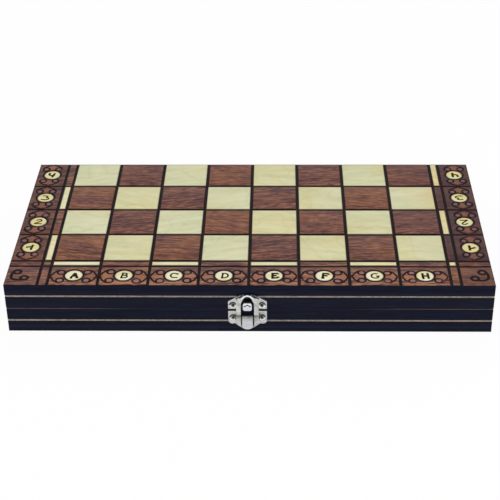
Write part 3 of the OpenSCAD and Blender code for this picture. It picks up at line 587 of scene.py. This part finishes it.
# the latch in millimetres from its middle, seen from the front: where painted highlights and reflections make
# it bright and painted shade and reflections make it dark
latch = {
    "x": -1.0,
    "middle": board["seam"] - 0.5,
    "plateFace": -88.45,  # the plates lie behind this, the hasp and the beak in front of it
    "haspEdge": 8.25,
    "barrel": (-7.6, -3.6),  # the curls round the pin are rubbed dull
    # painted shade and painted dark reflections take this colour
    "paintedDark": (14, 13, 17),
    "paintedDarkDepth": 0.95,
    "gleam": (250, 250, 248),
    # painted reflection makes the beak and the tail lighter and bluer; painted highlights on the beak's face
    # and on the arch's head
    "beak": {"tint": (222, 222, 236), "depth": 0.85, "half": 3.6, "low": 0.6, "high": 8.3,
             "shineFrom": (6.3, 6.9), "shineDepth": 0.9},
    "head": {"half": 4.4, "from": (9.0, 11.5), "depth": 0.7},
    "tail": {"tint": (208, 208, 220), "depth": 0.7, "half": 3.75, "top": -6.0},
    # painted shade in the seams beside the tail and on the plate behind the arch, and painted dark
    # reflections in the beak's crease and on its rounded top
    "seam": {"inner": (3.60, 4.00), "outer": (4.50, 4.90), "top": 0.5, "bottom": (-15.9, -13.4)},
    "window": {"half": 4.95, "halfHeight": 8.3, "middle": 4.0, "power": 4.0, "edge": (0.9, 1.1)},
    "crease": {"half": 2.5, "height": 5.9, "waves": 1.6, "swing": 0.65, "edge": (0.348, 0.754)},
    "nose": {"half": 3.3, "from": (8.1, 8.5), "top": 10.4},
    # the line of shadow that the arch's shoulders leave: a height, the place it is measured at and a slope
    "steep": (13.2, 3.55, 0.96),
    "flat": (10.5, 6.4, 0.42),
    "shoulder": {"from": 2.4, "to": 8.4, "edge": (0.25, 0.60)},
    # a dimple round each nail with painted shade above and a painted highlight below, and a painted dark spot
    # on the nail's head
    "nail": {"x": 10.4, "heights": (4.4, -6.4), "head": (0.85, 1.25), "inner": (1.70, 1.90),
             "outer": (2.55, 2.75), "brightFrom": (0.3, 0.9), "brightDepth": 0.8, "lean": 0.3,
             "darkFrom": (0.1, 0.7)},
}


# the colour with the latch's painted highlights, reflections and shade, and where the plating is rubbed dull
def markLatch(colour, place):
    x, y, z = place.parts()
    side = x - latch["x"]
    across = abs(side)
    up = z - latch["middle"]
    onPlate = y > latch["plateFace"]
    inFront = 1 - onPlate
    # painted reflection: the beak is lighter and bluer, with a painted highlight on the top of its face
    mark = latch["beak"]
    beak = inFront * (across < mark["half"]) * (up > mark["low"]) * (up < mark["high"])
    colour = (beak * mark["depth"]).choose(colour, mark["tint"])
    lit = beak * up.rise(*mark["shineFrom"])
    colour = (lit * mark["shineDepth"]).choose(colour, latch["gleam"])
    # painted highlight on the arch's head
    mark = latch["head"]
    head = inFront * (across < mark["half"]) * up.rise(*mark["from"])
    colour = (head * mark["depth"]).choose(colour, latch["gleam"])
    # painted reflection: the tail is lighter and bluer
    mark = latch["tail"]
    tail = inFront * (across < mark["half"]) * (up < mark["top"])
    colour = (tail * mark["depth"]).choose(colour, mark["tint"])
    # painted shade in the seams beside the tail and on the plate behind the arch
    mark = latch["seam"]
    dark = across.rise(*mark["inner"]) * (1 - across.rise(*mark["outer"])) \
        * (up < mark["top"]) * up.rise(*mark["bottom"])
    mark = latch["window"]
    inWindow = (across / mark["half"]) ** mark["power"] \
        + (abs(up - mark["middle"]) / mark["halfHeight"]) ** mark["power"]
    dark = dark + onPlate * (1 - inWindow.rise(*mark["edge"]))
    # painted dark reflections in the beak's crease and on its rounded top
    mark = latch["crease"]
    wave = up - mark["height"] - (side * mark["waves"]).math("COSINE") * mark["swing"]
    dark = dark + beak * (across < mark["half"]) * (1 - abs(wave).rise(*mark["edge"]))
    mark = latch["nose"]
    dark = dark + inFront * (across < mark["half"]) * up.rise(*mark["from"]) * (up < mark["top"])
    # painted shadow along the arch's shoulders
    steep, flat = (height - (across - start) * slope
                   for height, start, slope in (latch["steep"], latch["flat"]))
    mark = latch["shoulder"]
    line = abs(up - steep.larger(flat))
    dark = dark + onPlate * (across > mark["from"]) * (across < mark["to"]) * (1 - line.rise(*mark["edge"]))
    # painted shade above, a painted highlight below and a painted dark spot on each nail
    mark = latch["nail"]
    for height in mark["heights"]:
        aside = across - mark["x"]
        above = up - height
        reach = (aside * aside + above * above) ** 0.5
        rim = reach.rise(*mark["inner"]) * (1 - reach.rise(*mark["outer"])) * (across > latch["haspEdge"])
        lit = rim * (-above).rise(*mark["brightFrom"])
        colour = (lit * mark["brightDepth"]).choose(colour, latch["gleam"])
        dark = dark + rim * (above + reach * mark["lean"]).rise(*mark["darkFrom"]) \
            + (1 - reach.rise(*mark["head"]))
    low, high = latch["barrel"]
    dulled = inFront * (up > low) * (up < high)
    return (dark.smaller(1.0) * latch["paintedDarkDepth"]).choose(colour, latch["paintedDark"]), dulled


def makeMetal(name, look):
    look = {**metalSkin, **look}
    material, place = startMaterial(name, {"Metallic": 1.0})
    smudge = place.cloud(**look["smudge"])
    brushed = place.cloud(**look["brushed"])
    colour = smudge.rise(*look["smudgeFrom"]).choose(look["bright"], look["dull"])
    wear = (brushed - 0.5) * look["brushedShine"]
    if "rubbed" in look:
        colour, dulled = markLatch(colour, place)
        wear = wear + dulled * look["rubbed"]
    return finish(material, colour, look, smudge, brushed * look["relief"] + smudge, wear)


# turned and lacquered wood: the grain follows the men, which lie along Y, and crosses the draughts
turnedLooks = {
    "lightPiece": {"stops": [(0.25, 196, 156, 100), (0.50, 222, 186, 132), (0.80, 236, 208, 160)],
                   "pore": (170, 124, 74)},
    "darkPiece": {"stops": [(0.25, 34, 20, 16), (0.50, 56, 32, 24), (0.80, 82, 48, 34)],
                  "pore": (20, 12, 10)},
}
turnedGrain = {
    "men": {"grain": (0.40, 0.035, 0.40), "pore": (2.6, 0.25, 2.6)},
    "draughts": {"grain": (0.05, 0.55, 0.2), "pore": (0.4, 3.0, 2.0)},
    "grainNoise": {"detail": 5.0, "roughness": 0.6, "distortion": 0.8},
    "poreFrom": (0.60, 0.72),
    "poreDepth": 0.45,
    "roughness": 0.30,
    "shine": 0.2,
    "grainRelief": 0.6,
    "poreRelief": 0.5,
    "bump": (0.2, 0.04),
}


def makeTurned(name, look, kind):
    look = {**turnedGrain, **look}
    lacquer = {"Specular IOR Level": 0.40, "Coat Weight": 0.35, "Coat Roughness": 0.12}
    material, place = startMaterial(name, lacquer)
    grain = place.cloud(look[kind]["grain"], **look["grainNoise"])
    pore = place.cloud(look[kind]["pore"]).rise(*look["poreFrom"])
    colour = (pore * look["poreDepth"]).choose(grain.ramp(look["stops"]), look["pore"])
    return finish(material, colour, look, grain, grain * look["grainRelief"] - pore * look["poreRelief"])


# the playing field inside: plain veneer and stained points
fieldLooks = {
    "fieldVeneer": {"light": (214, 190, 142), "deep": (188, 158, 108)},
    "redPointVeneer": {"light": (150, 52, 36), "deep": (104, 30, 24)},
    "darkPointVeneer": {"light": (84, 52, 38), "deep": (52, 30, 24)},
}
fieldGrain = {
    "grain": {"fine": (0.018, 0.30, 1.0), "detail": 6.0, "roughness": 0.6, "distortion": 0.8},
    "wave": {"fine": (0.006, 0.03, 1.0), "distortion": 0.6},
    "ringCount": 14,
    "grainShare": 0.7,
    "ringShare": 0.5,
    "lightFrom": (0.30, 0.75),
    "roughness": 0.42,
    "shine": 0.2,
    "bump": (0.25, 0.05),
}


def makeField(name, look):
    look = {**fieldGrain, **look}
    material, place = startMaterial(name, {"Specular IOR Level": 0.35, "Coat Weight": 0.15})
    grain = place.cloud(**look["grain"])
    rings = (place.cloud(**look["wave"]) * look["ringCount"]).math("FRACT")
    figure = grain * look["grainShare"] + abs(rings - 0.5) * look["ringShare"]
    colour = figure.rise(*look["lightFrom"]).choose(look["deep"], look["light"])
    return finish(material, colour, look, grain, grain)


# cast resin of the dice and the paint in their pips
resinLook = {
    "body": ((238, 231, 212), (226, 214, 186)),
    "pip": ((16, 15, 18), (30, 28, 32)),
    "swirl": {"scale": 0.22, "detail": 4.0, "roughness": 0.6, "distortion": 1.2},
    "swirlFrom": (0.35, 0.70),
    "roughness": 0.24,
    "shine": 0.15,
    "bump": (0.1, 0.03),
}


def makeResin(name, colours):
    material, place = startMaterial(name, {"Coat Weight": 0.3})
    swirl = place.cloud(**resinLook["swirl"])
    colour = swirl.rise(*resinLook["swirlFrom"]).choose(*colours)
    return finish(material, colour, resinLook, swirl, swirl)


mahogany, borderWood, maple, paleStrip = (makeVeneer(kind, look) for kind, look in veneerLooks.items())
blackWood = makeBlackWood("blackStainedWood", blackLook, False)
blackRail = makeBlackWood("blackRailWood", blackLook, True)
inlay = makeInlay("inlayWood", inlayLook)
burn = makeBurn("burntLine", burnLook)
ink = makeBurn("burntLetter", inkLook)
plateNickel, haspNickel, brass = (makeMetal(kind, look) for kind, look in metalLooks.items())
lightMan = makeTurned("lightTurnedWood", turnedLooks["lightPiece"], "men")
darkMan = makeTurned("darkTurnedWood", turnedLooks["darkPiece"], "men")
lightDraught = makeTurned("lightDraughtWood", turnedLooks["lightPiece"], "draughts")
darkDraught = makeTurned("darkDraughtWood", turnedLooks["darkPiece"], "draughts")
fieldVeneer, redPoint, darkPoint = (makeField(kind, look) for kind, look in fieldLooks.items())
diceResin = makeResin("diceResin", resinLook["body"])
pipPaint = makeResin("pipPaint", resinLook["pip"])
print("materials made:", len(bpy.data.materials))


# selecting, joining and handing over finished pieces
def pick(*pieces):
    if bpy.context.object and bpy.context.object.mode != "OBJECT":
        bpy.ops.object.mode_set(mode="OBJECT")
    bpy.ops.object.select_all(action="DESELECT")
    for piece in pieces:
        piece.select_set(True)
    bpy.context.view_layer.objects.active = pieces[-1]


def dress(piece, material):
    piece.data.materials.clear()
    piece.data.materials.append(material)


def join(pieces, name):
    pick(*pieces)
    bpy.ops.object.join()
    piece = bpy.context.object
    piece.name = name
    return piece


def applyPlace(piece):
    pick(piece)
    bpy.ops.object.transform_apply(location=True, rotation=True, scale=True)


def faceOutward(piece):
    pick(piece)
    bpy.ops.object.mode_set(mode="EDIT")
    bpy.ops.mesh.select_all(action="SELECT")
    bpy.ops.mesh.normals_make_consistent(inside=False)
    bpy.ops.object.mode_set(mode="OBJECT")


def settle(piece, body):
    applyPlace(piece)
    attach(piece, body)


softening = {
    "weld": 0.002,  # mm
    "flat": 1.0,  # degrees: faces that meet flatter than this become one
    "sharp": 38,  # edges sharper than this are rounded
}


# a softened copy of a CAD node that stands for it and, if no name is given, takes its name
# what the cutter holds is taken off first
def soften(node, material, width=0.0, segments=2, smooth=35, name="", cutter=None):
    first, *others = node.split("_")
    mesh = nodes[node].data.copy()
    piece = bpy.data.objects.new(name or first + "".join(map(str.capitalize, others)), mesh)
    bpy.context.scene.collection.objects.link(piece)
    dress(piece, material)
    pick(piece)
    bpy.ops.object.mode_set(mode="EDIT")
    bpy.ops.mesh.select_all(action="SELECT")
    bpy.ops.mesh.remove_doubles(threshold=softening["weld"] * mm)
    if width:
        bpy.ops.mesh.dissolve_limited(angle_limit=math.radians(softening["flat"]))
    bpy.ops.object.mode_set(mode="OBJECT")
    if cutter:
        cut = piece.modifiers.new("cut", "BOOLEAN")
        cut.operation = "DIFFERENCE"
        cut.solver = "EXACT"
        cut.object = cutter
        bpy.ops.object.modifier_apply(modifier=cut.name)
        bpy.data.objects.remove(cutter)
    if width:
        bevel = piece.modifiers.new("edge", "BEVEL")
        bevel.width = width * mm
        bevel.segments = segments
        bevel.limit_method = "ANGLE"
        bevel.angle_limit = math.radians(softening["sharp"])
        bevel.use_clamp_overlap = True
        bpy.ops.object.modifier_apply(modifier=bevel.name)
    bpy.ops.object.shade_smooth_by_angle(angle=math.radians(smooth))
    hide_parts(node)
    settle(piece, nodes[node]["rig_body"])
    return piece


# the board, both halves
tileEdge = {"square": 0.10, "border": 0.12, "inlay": 0.16, "rail": 0.14}

for half in ("upper", "lower"):
    soften(half + "_dark_squares", mahogany, tileEdge["square"])
    soften(half + "_light_squares", maple, tileEdge["square"])
    soften(half + "_dark_strips", borderWood, tileEdge["square"])
    soften(half + "_light_strips", paleStrip, tileEdge["square"])
    soften(half + "_border", borderWood, tileEdge["border"])
    soften(half + "_medallions", inlay, tileEdge["inlay"], name=half + "Inlays")
    for side in ("front", "back", "left", "right"):
        soften(half + "_" + side + "_rail", blackRail, tileEdge["rail"])
    for part, material in (("board", blackWood), ("field", fieldVeneer), ("dark_points", darkPoint),
                           ("red_points", redPoint)):
        dress(nodes[half + "_" + part], material)
print("board dressed")


# a flat burnt line through points in millimetres, lying on z = 0
def drawLines(name, lines, halfWidth):
    bpy.ops.object.select_all(action="DESELECT")
    bpy.ops.curve.primitive_bezier_curve_add()
    drawn = bpy.context.object
    drawn.name = name
    drawn.data.splines.clear()
    for line in lines:
        spline = drawn.data.splines.new("NURBS")
        spline.points.add(len(line) - 1)
        for number, (x, y) in enumerate(line):
            spline.points[number].co = (x * mm, y * mm, 0, 1)
        spline.order_u = 4
        spline.use_endpoint_u = True
    drawn.data.resolution_u = 2
    drawn.data.bevel_depth = halfWidth * mm
    drawn.data.bevel_resolution = 2
    drawn.data.use_fill_caps = True
    pick(drawn)
    bpy.ops.object.convert(target="MESH")
    drawn = bpy.context.object
    drawn.scale = (1, 1, scroll["proud"] / halfWidth)
    applyPlace(drawn)
    return drawn


def curl(middle, size, turn, steps=16):
    start, sweep = turn
    angles = [math.radians(start + sweep * step / steps) for step in range(steps + 1)]
    return [(middle[0] + size[0] * math.cos(angle), middle[1] + size[1] * math.sin(angle))
            for angle in angles]


# a copy of a drawing on the board's top, each a little different
def stamp(source, x, y, turn, mirror=1, wobble=0.0):
    copy = source.copy()
    copy.data = source.data.copy()
    bpy.context.scene.collection.objects.link(copy)
    size = 1 + random.uniform(-wobble, wobble)
    turn += random.uniform(-scroll["wobbleTurn"], scroll["wobbleTurn"]) * wobble
    depth = size * random.uniform(1 - wobble, 1 + wobble)
    copy.matrix_world = Matrix.Translation((x * mm, y * mm, board["top"] * mm)) \
        @ Matrix.Rotation(math.radians(turn), 4, "Z") @ Matrix.Diagonal((size * mirror, depth, 1, 1))
    applyPlace(copy)
    if mirror < 0:
        faceOutward(copy)
    return copy


# the lower half's outer face is the upper one turned half round about the Y axis at the seam
def turnUnder(piece):
    piece.matrix_world = Matrix.Translation((0, 0, board["seam"] * mm)) @ Matrix.Rotation(math.pi, 4, "Y") \
        @ Matrix.Translation((0, 0, -board["seam"] * mm))


# scrollwork: one block's scrolls are drawn once and stamped on every block
stroke = curl(scroll["loopMiddle"], scroll["loopSize"], scroll["loopTurn"]) + scroll["sweep"]
blockScroll = drawLines("blockScroll", [[(x * side, y * up) for x, y in stroke]
                                        for side in (1, -1) for up in (1, -1)], scroll["line"])
cornerEnds = [curl(middle, scroll["cornerCurl"], turn)
              for middle, turn in zip(scroll["cornerCurls"], scroll["cornerTurns"])]
cornerScroll = drawLines("cornerScroll", [cornerEnds[0] + scroll["corner"] + cornerEnds[1]],
                         scroll["cornerLine"])
columns = [board["letterColumn"] + board["square"] * number for number in range(board["files"])]
rows = [board["numberRow"] + board["square"] * number for number in range(board["ranks"])]
for half, body in (("upper", "lid"), ("lower", "lower_case")):
    work = [stamp(blockScroll, x, board["letterRow"] - scroll["outward"], 0, 1, scroll["wobble"])
            for x in columns]
    for side in (-1, 1):
        column = side * (board["numberColumn"] + scroll["outward"])
        work += [stamp(blockScroll, column, y, 90, 1, scroll["wobble"]) for y in rows]
        work.append(stamp(cornerScroll, side * board["numberColumn"], board["letterRow"], 0, -side,
                          scroll["cornerWobble"]))
    scrolls = join(work, half + "Scrollwork")
    if half == "lower":
        turnUnder(scrolls)
    dress(scrolls, burn)
    bpy.ops.object.shade_smooth()
    settle(scrolls, body)
for source in (blockScroll, cornerScroll):
    bpy.data.objects.remove(source)
print("scrollwork burnt")

# letters and numbers on the inlays, as a hand with a hot iron leaves them
lettering = {
    "tilt": 8.0,  # degrees, to either side
    "bold": 0.94,  # half the width of a stroke
    "thin": 0.68,
    "boldOnes": "AEFH14",
    "letterGrow": 0.90,
    "numeralGrow": 1.10,
    "aside": 0.4,  # the letters sit this much right of their inlay's middle
}
# the strokes of each sign, in tenths of a millimetre from its middle
tenth = 0.1
strokes = {
    "A": [[(-28, -34), (5, 34)], [(5, 34), (22, -32)], [(-15, -9), (17, -8)], [(-34, -34), (-14, -34)],
          [(10, -32), (34, -32)]],
    "B": [[(-23, -33), (-11, 33)], [(-22, 32), (6, 36), (32, 24), (14, 4), (-14, 2)],
          [(-14, 2), (22, 6), (32, -20), (6, -36), (-30, -33)]],
    "C": [[(24, 34), (22, 16)], [(22, 24), (4, 38), (-28, 28), (-34, -16), (-4, -38), (30, -22)]],
    "D": [[(-19, -32), (-11, 33)], [(-22, 32), (16, 38), (39, 8), (24, -34), (-28, -33)]],
    "E": [[(-19, -32), (-13, 32)], [(-24, 32), (28, 32)], [(-16, 1), (18, 2)], [(-28, -32), (26, -30)],
          [(28, 32), (26, 18)], [(26, -30), (30, -14)]],
    "F": [[(-16, -32), (-12, 32)], [(-26, -32), (0, -32)], [(-22, 32), (30, 32)], [(30, 32), (28, 17)],
          [(-14, 2), (22, 3)]],
    "G": [[(24, 24), (4, 38), (-28, 28), (-34, -16), (-4, -38), (26, -28), (26, -6)], [(6, -6), (36, -4)]],
    "H": [[(-24, -32), (-19, 32)], [(18, -32), (23, 32)], [(-22, 0), (20, 0)], [(-32, -32), (-14, -32)],
          [(10, -32), (28, -32)], [(-28, 32), (-9, 32)], [(14, 32), (32, 32)]],
    "1": [[(10, 32), (4, 0), (4, -32)], [(-34, -2), (-16, 10), (4, 6)]],
    "2": [[(-19, 17), (-2, 36), (34, 26), (10, 2), (-26, -24)], [(-26, -26), (4, -22), (30, -28)]],
    "3": [[(-26, 24), (4, 28), (26, 26), (2, 4)], [(2, 4), (32, 0), (24, -28), (-6, -30), (-30, -24)]],
    "4": [[(-22, 30), (-34, -9), (-6, -10), (20, -4)], [(14, 28), (4, -34)]],
    "5": [[(24, 28), (-14, 26), (-18, 4)], [(-18, 4), (14, 14), (32, -12), (8, -34), (-24, -24)]],
    "6": [[(22, 28), (-18, 22), (-30, -18), (0, -38), (28, -20), (16, 6), (-18, 0)]],
    "7": [[(-26, 26), (0, 28), (26, 26)], [(26, 26), (6, 2), (-4, -30)]],
    "8": [[(0, 2), (-28, 16), (0, 40), (28, 16), (0, 2), (-32, -18), (0, -40), (32, -18), (0, 2)]],
}


def burnSign(character, x, y, turn):
    grow = tenth * lettering["letterGrow" if character.isalpha() else "numeralGrow"]
    lines = [[(across * grow, up * grow) for across, up in line] for line in strokes[character]]
    drawn = drawLines("sign", lines, lettering["bold" if character in lettering["boldOnes"] else "thin"])
    sign = stamp(drawn, x, y, turn + random.uniform(-1, 1) * lettering["tilt"])
    bpy.data.objects.remove(drawn)
    return sign


for half, body, firstRank in (("upper", "lid", 1), ("lower", "lower_case", 8)):
    signs = []
    for letter, x in zip("ABCDEFGH", columns):
        # seen from below the files run the other way
        place = x if half == "upper" else -x
        signs.append(burnSign(letter, place + lettering["aside"], board["letterRow"], 0))
    for number, y in enumerate(rows):
        rank = str(firstRank + number if half == "upper" else firstRank - number)
        for side, turn in ((-1, 0), (1, 180)):
            signs.append(burnSign(rank, side * board["numberColumn"], y, turn))
    signs = join(signs, half + "Lettering")
    if half == "lower":
        turnUnder(signs)
    dress(signs, ink)
    settle(signs, body)
print("letters burnt")

# the hasp set: stamped steel with rolled edges, all in millimetres
latchEdge = {"plate": 0.22, "hasp": 0.28, "nail": 0.12, "segments": 3}
archWindow = {
    "headMiddle": (0, 9.2),
    "headSize": (3.2, 3.2),
    "headTurn": (90, -80),
    "headSteps": 10,
    "side": [(4.45, 7.3), (4.75, 5.6), (4.8, 3.0)],
    "depths": (-92.0, -88.0),
}


# the window of the arch opens a little higher and wider than the plain part's
def windowCutter():
    right = curl(archWindow["headMiddle"], archWindow["headSize"], archWindow["headTurn"],
                 archWindow["headSteps"]) + archWindow["side"]
    outline = right + [(-x, z) for x, z in reversed(right[1:])]
    corners = [((x + latch["x"]) * mm, y * mm, (z + latch["middle"]) * mm)
               for y in archWindow["depths"] for x, z in outline]
    count = len(outline)
    faces = [tuple(range(count)), tuple(reversed(range(count, 2 * count)))]
    for step in range(count):
        after = (step + 1) % count
        faces.append((step, step + count, after + count, after))
    mesh = bpy.data.meshes.new("archCutter")
    mesh.from_pydata(corners, [], faces)
    cutter = bpy.data.objects.new("archCutter", mesh)
    bpy.context.scene.collection.objects.link(cutter)
    faceOutward(cutter)
    return cutter


for node in ("catch_plate", "hasp_plate"):
    soften(node, plateNickel, latchEdge["plate"], latchEdge["segments"])
soften("hasp", haspNickel, latchEdge["hasp"], latchEdge["segments"], name="springHasp",
       cutter=windowCutter())
soften("hasp_pin", haspNickel, latchEdge["nail"])
for node in ("upper_latch_nails", "lower_latch_nails"):
    soften(node, plateNickel, latchEdge["nail"])

# hinges in the back edge
hingeEdge = 0.12
for side in ("left", "right"):
    for part in ("lower_leaf", "upper_leaf", "pin"):
        soften(side + "_hinge_" + part, brass, hingeEdge)
for half in ("lower", "upper"):
    soften(half + "_hinge_screws", brass)
print("latch and hinges made")

# what lies inside keeps its turned edges
turnedSmooth = 32
for side, wood, slot in (("white", lightMan, "light_piece"), ("black", darkMan, "dark_piece")):
    for man in ("king", "queen", "bishops", "knights", "rooks", "pawns"):
        soften(side + "_" + man, wood, smooth=turnedSmooth)
soften("light_draughts", lightDraught, smooth=turnedSmooth)
soften("dark_draughts", darkDraught, smooth=turnedSmooth)

# the pips are the faces that lie inside a die's six sides and away from its rounded corners
die = {"half": 6.0, "side": 5.95, "reach": 8.3}
dice = soften("dice", diceResin, smooth=turnedSmooth, name="gameDice")
dice.data.materials.append(pipPaint)
lowDie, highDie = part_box("dice")
dieMiddle = Vector((highDie.x - die["half"] * mm, (lowDie.y + highDie.y) / 2, (lowDie.z + highDie.z) / 2))
for face in dice.data.polygons:
    spot = Vector((abs(face.center.x), face.center.y, face.center.z)) - dieMiddle
    if max(map(abs, spot)) < die["side"] * mm and spot.length < die["reach"] * mm:
        face.material_index = 1
print("men, draughts and dice dressed")

# table, light and camera
studio = {
    "floorSize": 12.0,
    "floorDrop": 0.1,  # mm under the box
    "floorGrey": 0.9,
    "floorWhite": 0.95,  # share of the floor that the camera sees as plain white
    "ambient": 0.52,
    "lampSize": 0.9,
    # each lamp's place and watts
    "lamps": [((-0.55, -0.75, 1.10), 6.0), ((0.80, -0.35, 0.95), 3.4), ((0.10, 0.70, 1.20), 3.4)],
    # dark cards that only shine sees, over the box and behind the camera
    "cards": [{"place": (0.0, 0.10, 1.20), "size": (4.0, 3.6), "toward": (0.0, 0.10, 0.0)},
              {"place": (0.0, -1.70, 0.68), "size": (4.0, 1.1), "toward": (0.0, 0.0, 0.68)}],
    "cardGrey": 0.03,
    "aim": (0.0, 0.0, 0.02),
}
white = (1, 1, 1, 1)


def seenDirectly(tree):
    rays = tree.nodes.new("ShaderNodeLightPath")
    camera, glossy, through = (Wire(tree, rays.outputs["Is " + kind + " Ray"])
                               for kind in ("Camera", "Glossy", "Transmission"))
    return camera.larger(glossy).larger(through)


def matt(grey, roughness):
    return {"Base Color": (grey, grey, grey, 1), "Roughness": roughness, "Specular IOR Level": 0.0}


bpy.ops.object.select_all(action="DESELECT")
bpy.ops.mesh.primitive_plane_add(size=studio["floorSize"], location=(0, 0, -studio["floorDrop"] * mm))
floor = bpy.context.object
floor.name = "tableTop"
floorPaint, floorPlace = startMaterial("tableWhite", matt(studio["floorGrey"], 0.9))
tree = floorPaint.node_tree
plainWhite = floorPlace.node("ShaderNodeEmission", {}, {"Color": white, "Strength": 1.0})
seen = seenDirectly(tree)
matte = Wire(tree, tree.nodes["Principled BSDF"].outputs[0])
blend = seen.node("ShaderNodeMixShader", {}, {0: seen * studio["floorWhite"], 1: matte, 2: plainWhite})
blend.feed(tree.nodes["Material Output"], "Surface")
dress(floor, floorPaint)

world = bpy.data.worlds.new("studio")
bpy.context.scene.world = world
world.use_nodes = True
tree = world.node_tree
ambient = tree.nodes["Background"]
ambient.inputs["Color"].default_value = white
ambient.inputs["Strength"].default_value = studio["ambient"]
seen = seenDirectly(tree)
backdrop = seen.node("ShaderNodeBackground", {}, {"Color": white, "Strength": 1.0})
blend = seen.node("ShaderNodeMixShader", {}, {0: seen, 1: Wire(tree, ambient.outputs[0]), 2: backdrop})
blend.feed(tree.nodes["World Output"], "Surface")

for number, (place, watts) in enumerate(studio["lamps"]):
    bpy.ops.object.light_add(type="AREA", location=place)
    light = bpy.context.object
    light.name = "softbox" + str(number + 1)
    light.data.shape = "SQUARE"
    light.data.size = studio["lampSize"]
    light.data.energy = watts
    toward = Vector(studio["aim"]) - Vector(place)
    light.rotation_euler = toward.to_track_quat("-Z", "Y").to_euler()

# the dark cards give the plated metal its dark edges
cardPaint = startMaterial("cardBlack", matt(studio["cardGrey"], 1.0))[0]
for number, sheet in enumerate(studio["cards"]):
    bpy.ops.object.select_all(action="DESELECT")
    bpy.ops.mesh.primitive_plane_add(size=1, location=sheet["place"])
    card = bpy.context.object
    card.name = "darkCard" + str(number + 1)
    card.scale = (sheet["size"][0], sheet["size"][1], 1)
    toward = Vector(sheet["toward"]) - Vector(sheet["place"])
    card.rotation_euler = toward.to_track_quat("Z", "Y").to_euler()
    dress(card, cardPaint)
    card.visible_camera = False
    card.visible_diffuse = False
    card.visible_shadow = False

view = {"aim": (-0.00014, 0.0, 0.040), "distance": 1.00081, "elevation": 31.834, "yaw": -1.461,
        "roll": -0.724, "lens": 93.946, "sensor": 36, "shiftX": -0.00138, "shiftY": -0.05732, "nearest": 0.02}
elevation, yaw, roll = (math.radians(view[key]) for key in ("elevation", "yaw", "roll"))
level = Vector((math.cos(yaw), -math.sin(yaw), 0))
ahead = Vector((math.sin(yaw), math.cos(yaw), 0))
forward = ahead * math.cos(elevation) - Vector((0, 0, math.sin(elevation)))
upright = level.cross(forward)
right = level * math.cos(roll) + upright * math.sin(roll)
up = upright * math.cos(roll) - level * math.sin(roll)
bpy.ops.object.camera_add()
camera = bpy.context.object
camera.matrix_world = Matrix.Translation(Vector(view["aim"]) - forward * view["distance"]) \
    @ Matrix((right, up, -forward)).transposed().to_4x4()
camera.data.lens = view["lens"]
camera.data.sensor_width = view["sensor"]
camera.data.shift_x = view["shiftX"]
camera.data.shift_y = view["shiftY"]
camera.data.clip_start = view["nearest"]
bpy.context.scene.camera = camera
bpy.context.scene.view_settings.view_transform = "Standard"
print("studio ready")
